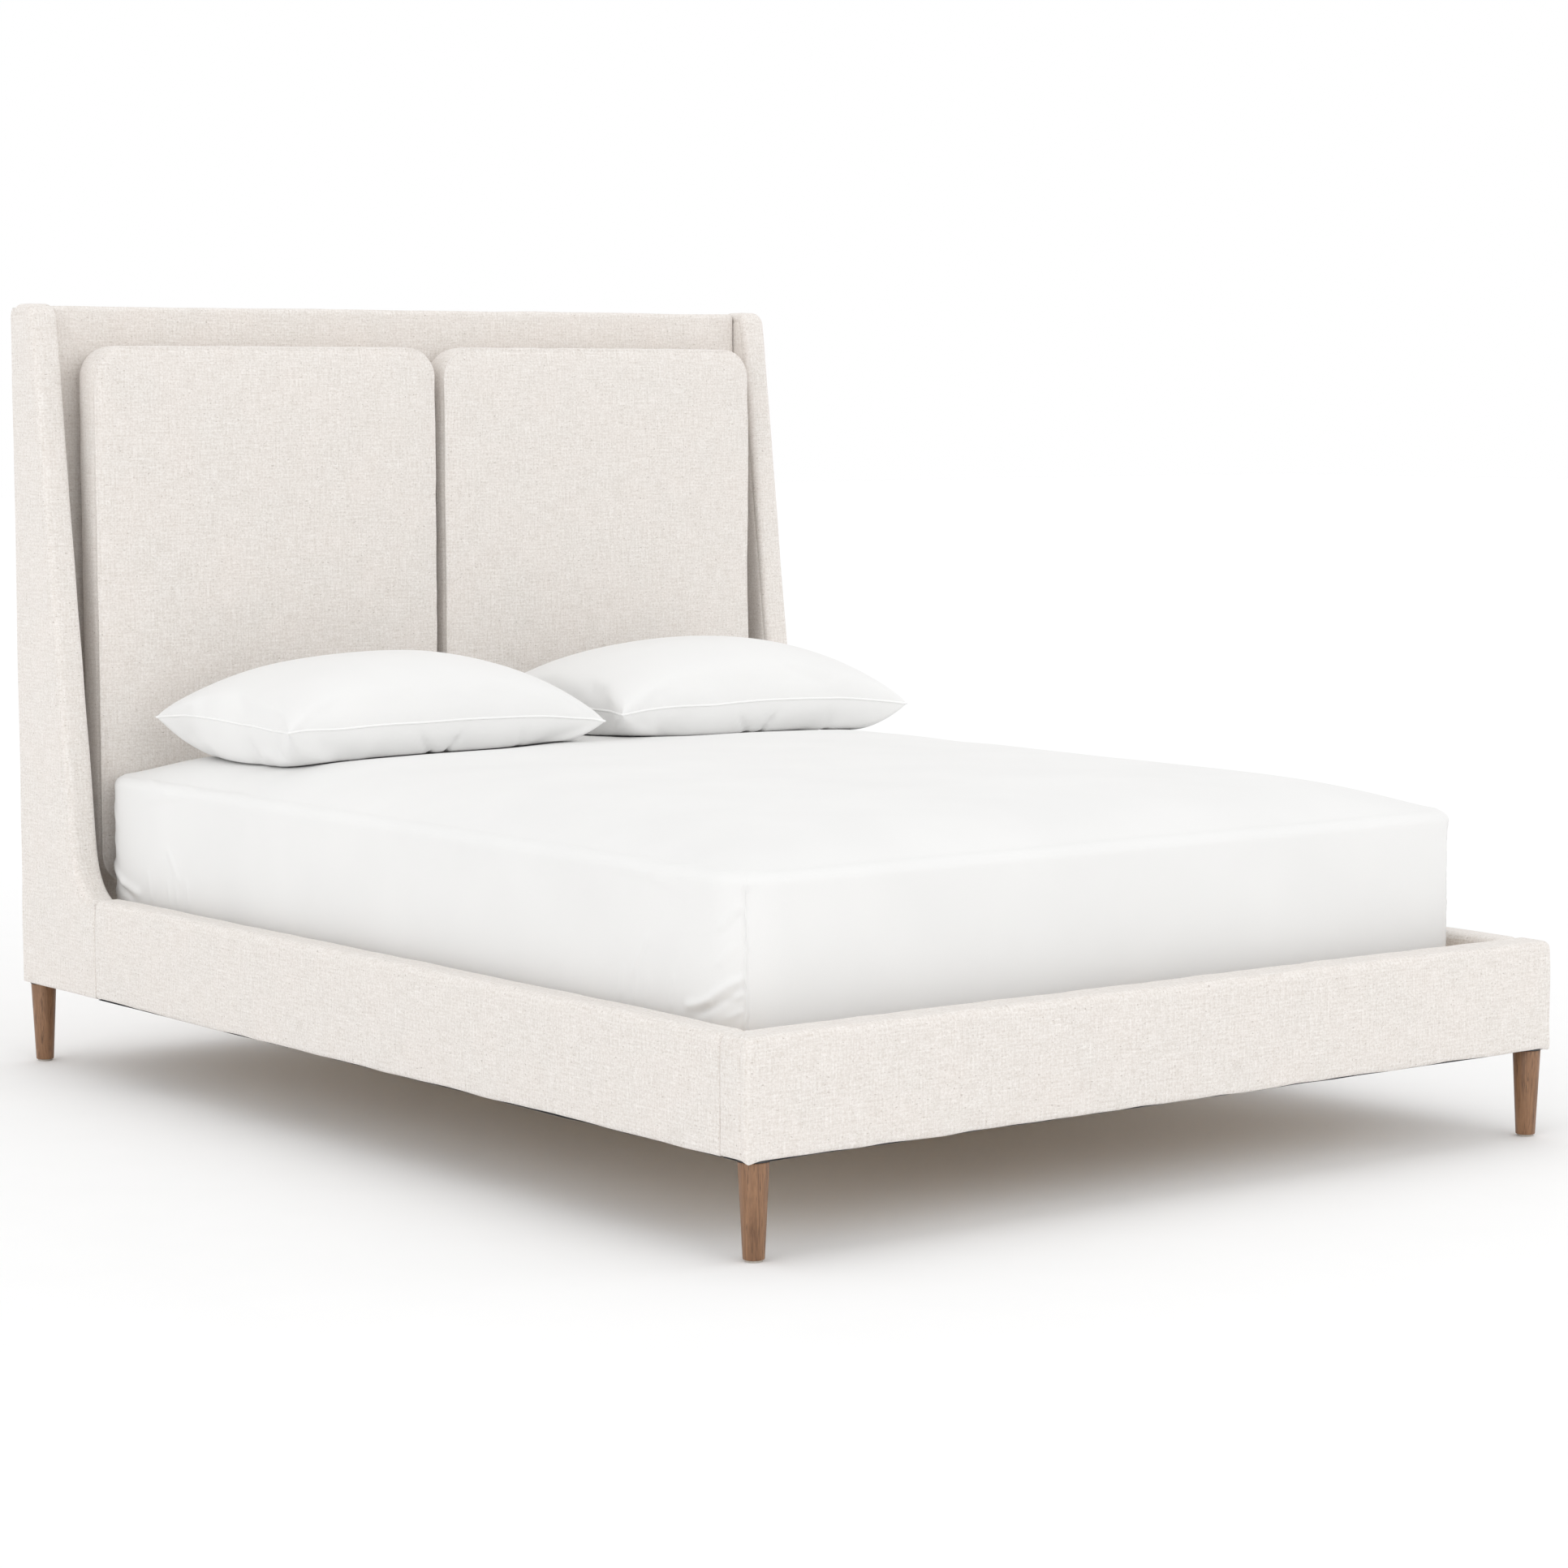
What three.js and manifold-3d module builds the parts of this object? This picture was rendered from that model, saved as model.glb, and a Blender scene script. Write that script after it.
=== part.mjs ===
// An upholstered queen bed: a winged headboard with two padded cushions, fabric-covered rails on
// tapered wooden legs, a slatted base with a centre beam, and a mattress dressed with a fitted
// sheet and two pillows.
//
// Millimetres, +Z up. The origin is on the floor under the middle of the bed, +Y points to the
// head and +X to the right-hand side as seen from the foot.
import * as THREE from "three";
import { mergeVertices } from "three/addons/utils/BufferGeometryUtils.js";
import Module from "manifold-3d";

const wasm = await Module();
wasm.setup();

// ---- Driving dimensions ----

const BED_WIDTH = 1700;
const BED_LENGTH = 2310;
const HEADBOARD_HEIGHT = 1430;
const RAIL_BOTTOM = 152;
const RAIL_TOP = 335;
const RAIL_THICKNESS = 55;
const FOOT_RAIL_THICKNESS = 70;
const PADDING = 14;
const GAP = 0.3;

const WING_TOP_DEPTH = 88;
const WING_KNEE_DEPTH = 214;
const WING_KNEE_HEIGHT = 433;
const WING_TOE_DEPTH = 295;
const WING_TOE_TOP = 328;
const WING_EDGE_RADIUS = 12;

const BACK_COVER_THICKNESS = 2.5;
const STUD_THICKNESS = 17.7;
const STUD_WIDTH = 70;
const BOARD_THICKNESS = 9;
const PANEL_DEPTH = 54;
const PANEL_TOP = HEADBOARD_HEIGHT - 4;
const HEADBOARD_BOTTOM_RAIL_HEIGHT = 146;
const HEADBOARD_TOP_RAIL_HEIGHT = 80;

const CUSHION_SIDE_MARGIN = 33;
const CUSHION_CENTRE_GAP = 10;
const CUSHION_TOP = 1357;
const CUSHION_BOTTOM = RAIL_TOP;
const CUSHION_FRONT_DEPTH = 152;
const CUSHION_CROWN = 6;
const CUSHION_CORNER_RADIUS = 58;
const CUSHION_EDGE_RADIUS = 8;
const CUSHION_BACK_INSET = 40;
const CUSHION_BACK_ROUNDING = 56;
const CUSHION_BOARD_THICKNESS = 12;
const CUSHION_BOARD_INSET = 45;

const MATTRESS_WIDTH = 1530;
const MATTRESS_LENGTH = 2018;
const MATTRESS_FOOT_GAP = 55;
const MATTRESS_EDGE_TOP = 552;
const MATTRESS_CROWN = 60;
const MATTRESS_CROWN_REACH = 90;
const MATTRESS_SHOULDER_RADIUS = 20;
const MATTRESS_CORNER_RADIUS = 80;
const SHEET_THICKNESS = 2;
const SHEET_TUCK = 75;

const PILLOW_WIDTH = 690;
const PILLOW_DEPTH = 475;
const PILLOW_THICKNESS = 168;
const PILLOW_SEAM_HEIGHT = 48;
const PILLOW_CENTRE = new THREE.Vector2(360, 645);

const SLAT_TOP = 285;
const SLAT_THICKNESS = 18;
const SLAT_WIDTH = 95;
const SLAT_COUNT = 12;
const LEDGER_SIZE = 30;
const BEAM_WIDTH = 45;
const BEAM_HEIGHT = 70;
const STEEL_THICKNESS = 3;

const LEG_TOP_RADIUS = 23.5;
const LEG_FOOT_RADIUS = 16.5;
const LEG_SIDE_INSET = 30;
const LEG_END_INSET = 27;
const LEG_PLATE_THICKNESS = 2.7;
const GLIDE_THICKNESS = 3;
const CENTRE_LEG_SIZE = 45;
const CENTRE_LEG_CLEARANCE = 22;
const FOOT_DISC_RADIUS = 18;
const FOOT_DISC_THICKNESS = 8;
const FOOT_STEM_RADIUS = 4;
const FOOT_STEM_LENGTH = 44;

// ---- Worked out from the driving dimensions ----

const SIDE = BED_WIDTH / 2;
const HEAD = BED_LENGTH / 2;
const FOOT = -HEAD;
const RAIL_INNER = SIDE - RAIL_THICKNESS;
const FOOT_RAIL_INNER = FOOT + FOOT_RAIL_THICKNESS;
const PANEL_FRONT = HEAD - PANEL_DEPTH;
const WING_TOE = HEAD - WING_TOE_DEPTH;
const PANEL_HALF_WIDTH = RAIL_INNER - GAP;
const FRAME_BACK = HEAD - BACK_COVER_THICKNESS - GAP;
const FRAME_FRONT = FRAME_BACK - STUD_THICKNESS;
const BOARD_FRONT = FRAME_FRONT - GAP - BOARD_THICKNESS;
const FRAME_TOP = PANEL_TOP - 11;
const SLAT_BOTTOM = SLAT_TOP - SLAT_THICKNESS;
const BEAM_TOP = SLAT_BOTTOM - GAP;
const BEAM_BOTTOM = BEAM_TOP - BEAM_HEIGHT;
const MATTRESS_FOOT = FOOT_RAIL_INNER + MATTRESS_FOOT_GAP;
const MATTRESS_MIDDLE = MATTRESS_FOOT + MATTRESS_LENGTH / 2;
const MATTRESS_BOTTOM = SLAT_TOP + SHEET_THICKNESS + 2 * GAP;
const MATTRESS_TOP = MATTRESS_EDGE_TOP + MATTRESS_CROWN;

// ---- Materials ----

const material = (color, roughness, metalness = 0) =>
  new THREE.MeshStandardMaterial({ color, roughness, metalness });

const upholstery = material(0xe6dfd6, 0.95);
const timber = material(0xd8b98a, 0.7);
const plywood = material(0xcaa877, 0.75);
const walnut = material(0x8a6446, 0.5);
const blackSteel = material(0x2b2b2c, 0.45, 0.8);
const glidePlastic = material(0xb9b2a6, 0.6);
const ticking = material(0xf0eee9, 0.9);
const bedLinen = material(0xfafafa, 0.9);

// ---- Geometry helpers ----

// A closed geometry as a solid that can be joined and cut.
function solidFrom(geometry) {
  const bare = geometry.clone();
  bare.deleteAttribute("normal");
  bare.deleteAttribute("uv");
  const merged = mergeVertices(bare, 1e-3);
  return new wasm.Manifold(
    new wasm.Mesh({
      numProp: 3,
      vertProperties: merged.attributes.position.array,
      triVerts: new Uint32Array(merged.index.array),
    }),
  );
}

function geometryFrom(solid) {
  const mesh = solid.getMesh();
  const geometry = new THREE.BufferGeometry();
  geometry.setAttribute("position", new THREE.BufferAttribute(mesh.vertProperties, 3));
  geometry.setIndex(new THREE.BufferAttribute(mesh.triVerts, 1));
  geometry.computeVertexNormals();
  return geometry;
}

function cut(geometry, ...tools) {
  const start = solidFrom(geometry);
  return geometryFrom(tools.reduce((left, tool) => left.subtract(solidFrom(tool)), start));
}

function join(...geometries) {
  const [first, ...others] = geometries.map(solidFrom);
  return geometryFrom(others.reduce((whole, next) => whole.add(next), first));
}

// A box between two corners.
function boxBetween(x0, x1, y0, y1, z0, z1) {
  const box = new THREE.BoxGeometry(x1 - x0, y1 - y0, z1 - z0);
  return box.translate((x0 + x1) / 2, (y0 + y1) / 2, (z0 + z1) / 2);
}

// Extrudes an outline drawn in (y, z) from x0 to x1, with its long edges rounded by radius.
function extrudeAcross(outline, x0, x1, radius = 0) {
  const options = {
    depth: x1 - x0 - 2 * radius,
    bevelEnabled: radius > 0,
    bevelThickness: radius,
    bevelSize: radius,
    bevelOffset: -radius,
    bevelSegments: 3,
    curveSegments: 10,
  };
  const geometry = new THREE.ExtrudeGeometry(outline, options);
  const toYZ = new THREE.Matrix4().makeBasis(
    new THREE.Vector3(0, 1, 0),
    new THREE.Vector3(0, 0, 1),
    new THREE.Vector3(1, 0, 0),
  );
  return geometry.applyMatrix4(toYZ).translate(x0 + radius, 0, 0);
}

// A bar along X with a rounded rectangular section.
function easedBar(length, depth, height, radius) {
  const section = new THREE.Shape();
  const y = depth / 2 - radius;
  const z = height / 2 - radius;
  section.absarc(y, z, radius, 0, Math.PI / 2);
  section.absarc(-y, z, radius, Math.PI / 2, Math.PI);
  section.absarc(-y, -z, radius, Math.PI, 1.5 * Math.PI);
  section.absarc(y, -z, radius, 1.5 * Math.PI, 2 * Math.PI);
  const bar = new THREE.ExtrudeGeometry(section, {
    depth: length,
    bevelEnabled: false,
    curveSegments: 2,
  });
  return bar.rotateX(Math.PI / 2).rotateZ(Math.PI / 2).translate(-length / 2, 0, 0);
}

// A rounded rectangle at height z, counter-clockwise, pulled in from its full size by inset.
function rectangleRing(width, depth, radius, inset, z) {
  const cornerSteps = 5;
  const r = Math.max(radius - inset, 4);
  const x = width / 2 - inset - r;
  const y = depth / 2 - inset - r;
  const corners = [[x, y], [-x, y], [-x, -y], [x, -y]];
  const ring = [];
  corners.forEach(([cx, cy], quarter) => {
    for (let i = 0; i <= cornerSteps; i++) {
      const angle = (quarter + i / cornerSteps) * (Math.PI / 2);
      ring.push(new THREE.Vector3(cx + r * Math.cos(angle), cy + r * Math.sin(angle), z));
    }
  });
  return ring;
}

// A closed skin through rings of equal size, closed by a fan at each end.
function loft(rings, firstZ, lastZ) {
  const size = rings[0].length;
  const points = [new THREE.Vector3(0, 0, firstZ), ...rings.flat(), new THREE.Vector3(0, 0, lastZ)];
  const last = points.length - 1;
  const faces = [];
  for (let i = 0; i < size; i++) {
    const next = (i + 1) % size;
    faces.push(0, 1 + next, 1 + i);
    for (let ring = 0; ring < rings.length - 1; ring++) {
      const low = 1 + ring * size;
      const high = low + size;
      faces.push(low + i, low + next, high + next, low + i, high + next, high + i);
    }
    const top = 1 + (rings.length - 1) * size;
    faces.push(last, top + i, top + next);
  }
  const geometry = new THREE.BufferGeometry().setFromPoints(points);
  geometry.setIndex(faces);
  geometry.computeVertexNormals();
  return geometry;
}

// A soft block: profile lists (inset, height) from the bottom edge to the top one.
function softBlock(width, depth, radius, profile, bottomZ, topZ) {
  const rings = profile.map(([inset, z]) => rectangleRing(width, depth, radius, inset, z));
  return loft(rings, bottomZ, topZ);
}

// The (inset, height) points of a quarter round that turns from a wall in to a top at height z.
function roundedShoulder(radius, z, steps = 4) {
  const points = [];
  for (let i = 0; i <= steps; i++) {
    const angle = (i / steps) * (Math.PI / 2);
    points.push([radius * (1 - Math.cos(angle)), z - radius * (1 - Math.sin(angle))]);
  }
  return points;
}

// Moves each point of an (inset, height) profile out along its own normal.
function offsetProfile(profile, distance) {
  return profile.map(([inset, z], i) => {
    const [beforeInset, beforeZ] = profile[Math.max(i - 1, 0)];
    const [afterInset, afterZ] = profile[Math.min(i + 1, profile.length - 1)];
    const along = new THREE.Vector2(afterInset - beforeInset, afterZ - beforeZ).normalize();
    return [inset - along.y * distance, z + along.x * distance];
  });
}

function part(name, geometry, surface, x = 0, y = 0, z = 0) {
  const mesh = new THREE.Mesh(geometry, surface);
  mesh.name = name;
  mesh.position.set(x, y, z);
  return mesh;
}

// ---- Headboard ----

// The timber frame, the board on its front, the padded front and the cloth on its back.
function headboardPanel() {
  const group = new THREE.Group();
  const middle = (FRAME_BACK + FRAME_FRONT) / 2;
  const innerHalf = PANEL_HALF_WIDTH - STUD_WIDTH - GAP;
  const postHeight = FRAME_TOP - RAIL_BOTTOM;
  const post = new THREE.BoxGeometry(STUD_WIDTH, STUD_THICKNESS, postHeight);
  const bottomRail = new THREE.BoxGeometry(
    2 * innerHalf,
    STUD_THICKNESS,
    HEADBOARD_BOTTOM_RAIL_HEIGHT,
  );
  const topRail = new THREE.BoxGeometry(2 * innerHalf, STUD_THICKNESS, HEADBOARD_TOP_RAIL_HEIGHT);
  const postX = PANEL_HALF_WIDTH - STUD_WIDTH / 2;
  const postZ = RAIL_BOTTOM + postHeight / 2;
  const bottomZ = RAIL_BOTTOM + HEADBOARD_BOTTOM_RAIL_HEIGHT / 2;
  const topZ = FRAME_TOP - HEADBOARD_TOP_RAIL_HEIGHT / 2;
  const board = boxBetween(
    -PANEL_HALF_WIDTH,
    PANEL_HALF_WIDTH,
    BOARD_FRONT,
    BOARD_FRONT + BOARD_THICKNESS,
    RAIL_BOTTOM,
    FRAME_TOP,
  );
  group.add(
    part("headboard_post_left", post, timber, -postX, middle, postZ),
    part("headboard_post_right", post, timber, postX, middle, postZ),
    part("headboard_bottom_rail", bottomRail, timber, 0, middle, bottomZ),
    part("headboard_top_rail", topRail, timber, 0, middle, topZ),
    part("headboard_board", board, plywood),
    part("headboard_front_pad", frontPad(), upholstery),
    part("headboard_back_cover", backCover(), upholstery),
  );
  return group;
}

// Padding on the front of the board, which folds over the top of the frame.
function frontPad() {
  const radius = 8;
  const inside = BOARD_FRONT - GAP;
  const section = new THREE.Shape();
  section.moveTo(PANEL_FRONT, RAIL_BOTTOM);
  section.lineTo(inside, RAIL_BOTTOM);
  section.lineTo(inside, FRAME_TOP + GAP);
  section.lineTo(FRAME_BACK, FRAME_TOP + GAP);
  section.lineTo(FRAME_BACK, PANEL_TOP);
  section.lineTo(PANEL_FRONT + radius, PANEL_TOP);
  section.absarc(PANEL_FRONT + radius, PANEL_TOP - radius, radius, Math.PI / 2, Math.PI);
  section.closePath();
  return extrudeAcross(section, -PANEL_HALF_WIDTH, PANEL_HALF_WIDTH);
}

// One sheet of cloth closes the back of the panel and of both wings.
function backCover() {
  const margin = 4;
  return boxBetween(
    -SIDE + margin,
    SIDE - margin,
    HEAD - BACK_COVER_THICKNESS,
    HEAD,
    RAIL_BOTTOM + margin,
    PANEL_TOP - margin,
  );
}

// The side view of a wing in (y, z): a sloping front edge that sweeps forward to meet the rail.
function wingOutline(inset, back, bottom) {
  const y = (depth) => HEAD - depth + inset;
  const outline = new THREE.Shape();
  outline.moveTo(back, bottom);
  outline.lineTo(back, HEADBOARD_HEIGHT - inset);
  outline.lineTo(y(WING_TOP_DEPTH), HEADBOARD_HEIGHT - inset);
  outline.lineTo(y(WING_KNEE_DEPTH), WING_KNEE_HEIGHT);
  outline.bezierCurveTo(
    y(WING_KNEE_DEPTH + 8),
    WING_KNEE_HEIGHT - 58,
    y(WING_KNEE_DEPTH + 31),
    WING_TOE_TOP + 7 - inset,
    y(WING_TOE_DEPTH),
    WING_TOE_TOP - inset,
  );
  outline.lineTo(y(WING_TOE_DEPTH), bottom);
  outline.closePath();
  return outline;
}

// The right-hand wing: a timber core inside a padded cover that is open at the back and below.
function wing(side) {
  const back = FRAME_BACK;
  const coreInner = RAIL_INNER + PADDING;
  const coreOuter = SIDE - PADDING;
  const core = extrudeAcross(wingOutline(PADDING, back, RAIL_BOTTOM), coreInner, coreOuter);
  const cavity = extrudeAcross(
    wingOutline(PADDING - GAP, back + PADDING, RAIL_BOTTOM - PADDING),
    coreInner - GAP,
    coreOuter + GAP,
  );
  const shell = extrudeAcross(
    wingOutline(0, back, RAIL_BOTTOM),
    RAIL_INNER,
    SIDE,
    WING_EDGE_RADIUS,
  );
  const group = new THREE.Group();
  group.add(part(`wing_core_${side}`, core, timber));
  group.add(part(`wing_cover_${side}`, cut(shell, cavity), upholstery));
  return group;
}

// The (inset, height) points of a cushion's side: rounded in to its narrower back.
function cushionProfile(thickness, steps = 4) {
  const back = [];
  for (let i = 0; i < steps; i += 1) {
    const angle = ((i / steps) * Math.PI) / 2;
    back.push([
      CUSHION_BACK_INSET * (1 - Math.sin(angle)),
      CUSHION_BACK_ROUNDING * (1 - Math.cos(angle)),
    ]);
  }
  return [...back, [0, CUSHION_BACK_ROUNDING], ...roundedShoulder(CUSHION_EDGE_RADIUS, thickness)];
}

// The right-hand cushion, built lying on its back and stood up against the panel.
function headboardCushion(side) {
  const width = SIDE - RAIL_THICKNESS - CUSHION_SIDE_MARGIN - CUSHION_CENTRE_GAP / 2;
  const height = CUSHION_TOP - CUSHION_BOTTOM;
  const thickness = CUSHION_FRONT_DEPTH - PANEL_DEPTH - GAP;
  const pad = softBlock(
    width,
    height,
    CUSHION_CORNER_RADIUS,
    cushionProfile(thickness),
    0,
    thickness + CUSHION_CROWN,
  );
  const boardProfile = [[CUSHION_BOARD_INSET, 0], [CUSHION_BOARD_INSET, CUSHION_BOARD_THICKNESS]];
  const board = softBlock(
    width,
    height,
    CUSHION_CORNER_RADIUS,
    boardProfile,
    0,
    CUSHION_BOARD_THICKNESS,
  );
  const pocketInset = CUSHION_BOARD_INSET - GAP;
  const pocketDepth = CUSHION_BOARD_THICKNESS + GAP;
  const pocket = softBlock(
    width,
    height,
    CUSHION_CORNER_RADIUS,
    [[pocketInset, -1], [pocketInset, pocketDepth]],
    -1,
    pocketDepth,
  );
  const group = new THREE.Group();
  group.position.set(
    CUSHION_CENTRE_GAP / 2 + width / 2,
    PANEL_FRONT - GAP,
    (CUSHION_TOP + CUSHION_BOTTOM) / 2,
  );
  group.rotation.x = Math.PI / 2;
  group.add(part(`cushion_board_${side}`, board, plywood));
  group.add(part(`headboard_cushion_${side}`, cut(pad, pocket), upholstery));
  return group;
}

// ---- Rails ----

// A padded cover for a rail of this size, open below, and the timber core inside it.
function railPair(width, depth, cornerRadius, endPadding) {
  const height = RAIL_TOP - RAIL_BOTTOM;
  const topRadius = 17;
  const shell = softBlock(
    width,
    depth,
    cornerRadius,
    [[0, 0], ...roundedShoulder(topRadius, height)],
    0,
    height,
  );
  const coreWidth = width - 2 * (width < depth ? PADDING : endPadding);
  const coreDepth = depth - 2 * (width < depth ? endPadding : PADDING);
  const coreHeight = height - PADDING;
  const core = new THREE.BoxGeometry(coreWidth, coreDepth, coreHeight);
  core.translate(0, 0, coreHeight / 2);
  const cavity = new THREE.BoxGeometry(
    coreWidth + 2 * GAP,
    coreDepth + 2 * GAP,
    coreHeight + PADDING,
  );
  cavity.translate(0, 0, (coreHeight - PADDING) / 2 + GAP);
  return { core, cover: cut(shell, cavity) };
}

// The right-hand side rail with the ledger that carries the slats.
function sideRail(side) {
  const start = FOOT_RAIL_INNER + GAP;
  const end = WING_TOE - GAP;
  const { core, cover } = railPair(RAIL_THICKNESS, end - start, 6, 8);
  const x = SIDE - RAIL_THICKNESS / 2;
  const y = (start + end) / 2;
  const ledgerStart = FOOT_RAIL_INNER + STEEL_THICKNESS;
  const ledgerEnd = PANEL_FRONT - STEEL_THICKNESS;
  const ledger = new THREE.BoxGeometry(LEDGER_SIZE, ledgerEnd - ledgerStart, LEDGER_SIZE);
  const group = new THREE.Group();
  group.add(
    part(`side_rail_core_${side}`, core, timber, x, y, RAIL_BOTTOM),
    part(`side_rail_cover_${side}`, cover, upholstery, x, y, RAIL_BOTTOM),
    part(
      `slat_ledger_${side}`,
      ledger,
      timber,
      RAIL_INNER - GAP - LEDGER_SIZE / 2,
      (ledgerStart + ledgerEnd) / 2,
      BEAM_TOP - LEDGER_SIZE / 2,
    ),
  );
  return group;
}

function footRail() {
  const { core, cover } = railPair(BED_WIDTH, FOOT_RAIL_THICKNESS, 13, PADDING);
  const y = FOOT + FOOT_RAIL_THICKNESS / 2;
  const group = new THREE.Group();
  group.add(part("foot_rail_core", core, timber, 0, y, RAIL_BOTTOM));
  group.add(part("foot_rail_cover", cover, upholstery, 0, y, RAIL_BOTTOM));
  return group;
}

// ---- Hardware ----

// A hexagonal bolt head that stands on its washer, with its axis along Z.
function boltHead(x, y, z) {
  const washer = new THREE.CylinderGeometry(9, 9, 2, 12).translate(0, 1, 0);
  const head = new THREE.CylinderGeometry(6.5, 6.5, 7, 6).translate(0, 3.5, 0);
  return join(washer, head).rotateX(Math.PI / 2).translate(x, y, z);
}

// A flat joining plate with four bolts, lying in XY with its bolts up.
function joiningPlate(length, width) {
  const plate = new THREE.BoxGeometry(length, width, STEEL_THICKNESS);
  plate.translate(0, 0, STEEL_THICKNESS / 2);
  const bolts = [-1, 1].flatMap((sideX) =>
    [-1, 1].map((sideY) =>
      boltHead((sideX * length) / 3, (sideY * width) / 4, STEEL_THICKNESS / 2),
    ),
  );
  return join(plate, ...bolts);
}

// Right-hand brackets: a plate across the butt joint of rail and wing, an angle at the foot.
function railBrackets(side) {
  const length = 150;
  const width = 58;
  const z = RAIL_BOTTOM + 44;
  const head = part(`rail_bracket_head_${side}`, joiningPlate(length, width), blackSteel);
  head.position.set(RAIL_INNER - GAP, WING_TOE, z);
  head.rotation.set(Math.PI / 2, 0, -Math.PI / 2, "ZXY");
  const arm = 75;
  const corner = new THREE.Vector2(RAIL_INNER - GAP, FOOT_RAIL_INNER + GAP);
  const low = z - width / 2;
  const high = z + width / 2;
  const alongRail = boxBetween(
    corner.x - STEEL_THICKNESS,
    corner.x,
    corner.y,
    corner.y + arm,
    low,
    high,
  );
  const alongFoot = boxBetween(
    corner.x - arm,
    corner.x,
    corner.y,
    corner.y + STEEL_THICKNESS,
    low,
    high,
  );
  const bolts = [-1, 1].flatMap((level) => {
    const height = z + (level * width) / 4;
    const onRail = boltHead(0, 0, 0).rotateY(-Math.PI / 2);
    const onFoot = boltHead(0, 0, 0).rotateX(-Math.PI / 2);
    onRail.translate(corner.x - 1, corner.y + arm * 0.65, height);
    onFoot.translate(corner.x - arm * 0.65, corner.y + 1, height);
    return [onRail, onFoot];
  });
  const foot = part(
    `rail_bracket_foot_${side}`,
    join(alongRail, alongFoot, ...bolts),
    blackSteel,
  );
  const group = new THREE.Group();
  group.add(head, foot);
  return group;
}

// A steel saddle that holds one end of the beam; its back plate stands at y = 0.
function beamHanger(name, y, direction) {
  const reach = 55;
  const half = BEAM_WIDTH / 2 + GAP;
  const steel = STEEL_THICKNESS;
  const floor = BEAM_BOTTOM - GAP;
  const top = BEAM_TOP - 5;
  const back = boxBetween(-half - 25, half + 25, 0, steel, floor - steel, top);
  const seat = boxBetween(-half - steel, half + steel, 0, reach, floor - steel, floor);
  const leftCheek = boxBetween(-half - steel, -half, 0, reach, floor - steel, top);
  const rightCheek = boxBetween(half, half + steel, 0, reach, floor - steel, top);
  const hanger = part(name, join(back, seat, leftCheek, rightCheek), blackSteel, 0, y, 0);
  if (direction < 0) hanger.rotation.z = Math.PI;
  return hanger;
}

// ---- Slatted base ----

function slats() {
  const group = new THREE.Group();
  const slat = easedBar(2 * (RAIL_INNER - 3), SLAT_WIDTH, SLAT_THICKNESS, 3);
  const first = MATTRESS_FOOT + SLAT_WIDTH / 2;
  const last = MATTRESS_FOOT + MATTRESS_LENGTH - SLAT_WIDTH / 2;
  for (let i = 0; i < SLAT_COUNT; i++) {
    const y = first + ((last - first) * i) / (SLAT_COUNT - 1);
    const name = `slat_${String(i + 1).padStart(2, "0")}`;
    group.add(part(name, slat, timber, 0, y, SLAT_TOP - SLAT_THICKNESS / 2));
  }
  return group;
}

// The beam down the middle, its hangers, its leg and the foot that screws into that leg.
function centreSupport() {
  const start = FOOT_RAIL_INNER + 2 * GAP + STEEL_THICKNESS;
  const end = PANEL_FRONT - 2 * GAP - STEEL_THICKNESS;
  const beam = new THREE.BoxGeometry(BEAM_WIDTH, end - start, BEAM_HEIGHT);
  const legTop = BEAM_BOTTOM - GAP;
  const legHeight = legTop - CENTRE_LEG_CLEARANCE;
  const boreDepth = FOOT_STEM_LENGTH + 10;
  const legBlock = new THREE.BoxGeometry(CENTRE_LEG_SIZE, CENTRE_LEG_SIZE, legHeight);
  legBlock.translate(0, 0, legHeight / 2);
  const bore = new THREE.CylinderGeometry(
    FOOT_STEM_RADIUS + 0.5,
    FOOT_STEM_RADIUS + 0.5,
    2 * boreDepth,
    16,
  ).rotateX(Math.PI / 2);
  const foot = new THREE.LatheGeometry(
    [
      new THREE.Vector2(0, 0),
      new THREE.Vector2(FOOT_DISC_RADIUS, 0),
      new THREE.Vector2(FOOT_DISC_RADIUS, 5),
      new THREE.Vector2(FOOT_DISC_RADIUS - 6, FOOT_DISC_THICKNESS),
      new THREE.Vector2(FOOT_STEM_RADIUS, FOOT_DISC_THICKNESS),
      new THREE.Vector2(FOOT_STEM_RADIUS, FOOT_DISC_THICKNESS + FOOT_STEM_LENGTH),
      new THREE.Vector2(0, FOOT_DISC_THICKNESS + FOOT_STEM_LENGTH),
    ],
    20,
  ).rotateX(Math.PI / 2);
  const beamY = (start + end) / 2;
  const group = new THREE.Group();
  group.add(
    part("centre_beam", beam, timber, 0, beamY, BEAM_TOP - BEAM_HEIGHT / 2),
    beamHanger("beam_hanger_foot", FOOT_RAIL_INNER + GAP, 1),
    beamHanger("beam_hanger_head", PANEL_FRONT - GAP, -1),
    part("centre_leg", cut(legBlock, bore), timber, 0, beamY, CENTRE_LEG_CLEARANCE),
    part("levelling_foot", foot, blackSteel, 0, beamY, 0),
  );
  return group;
}

// ---- Legs ----

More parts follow.
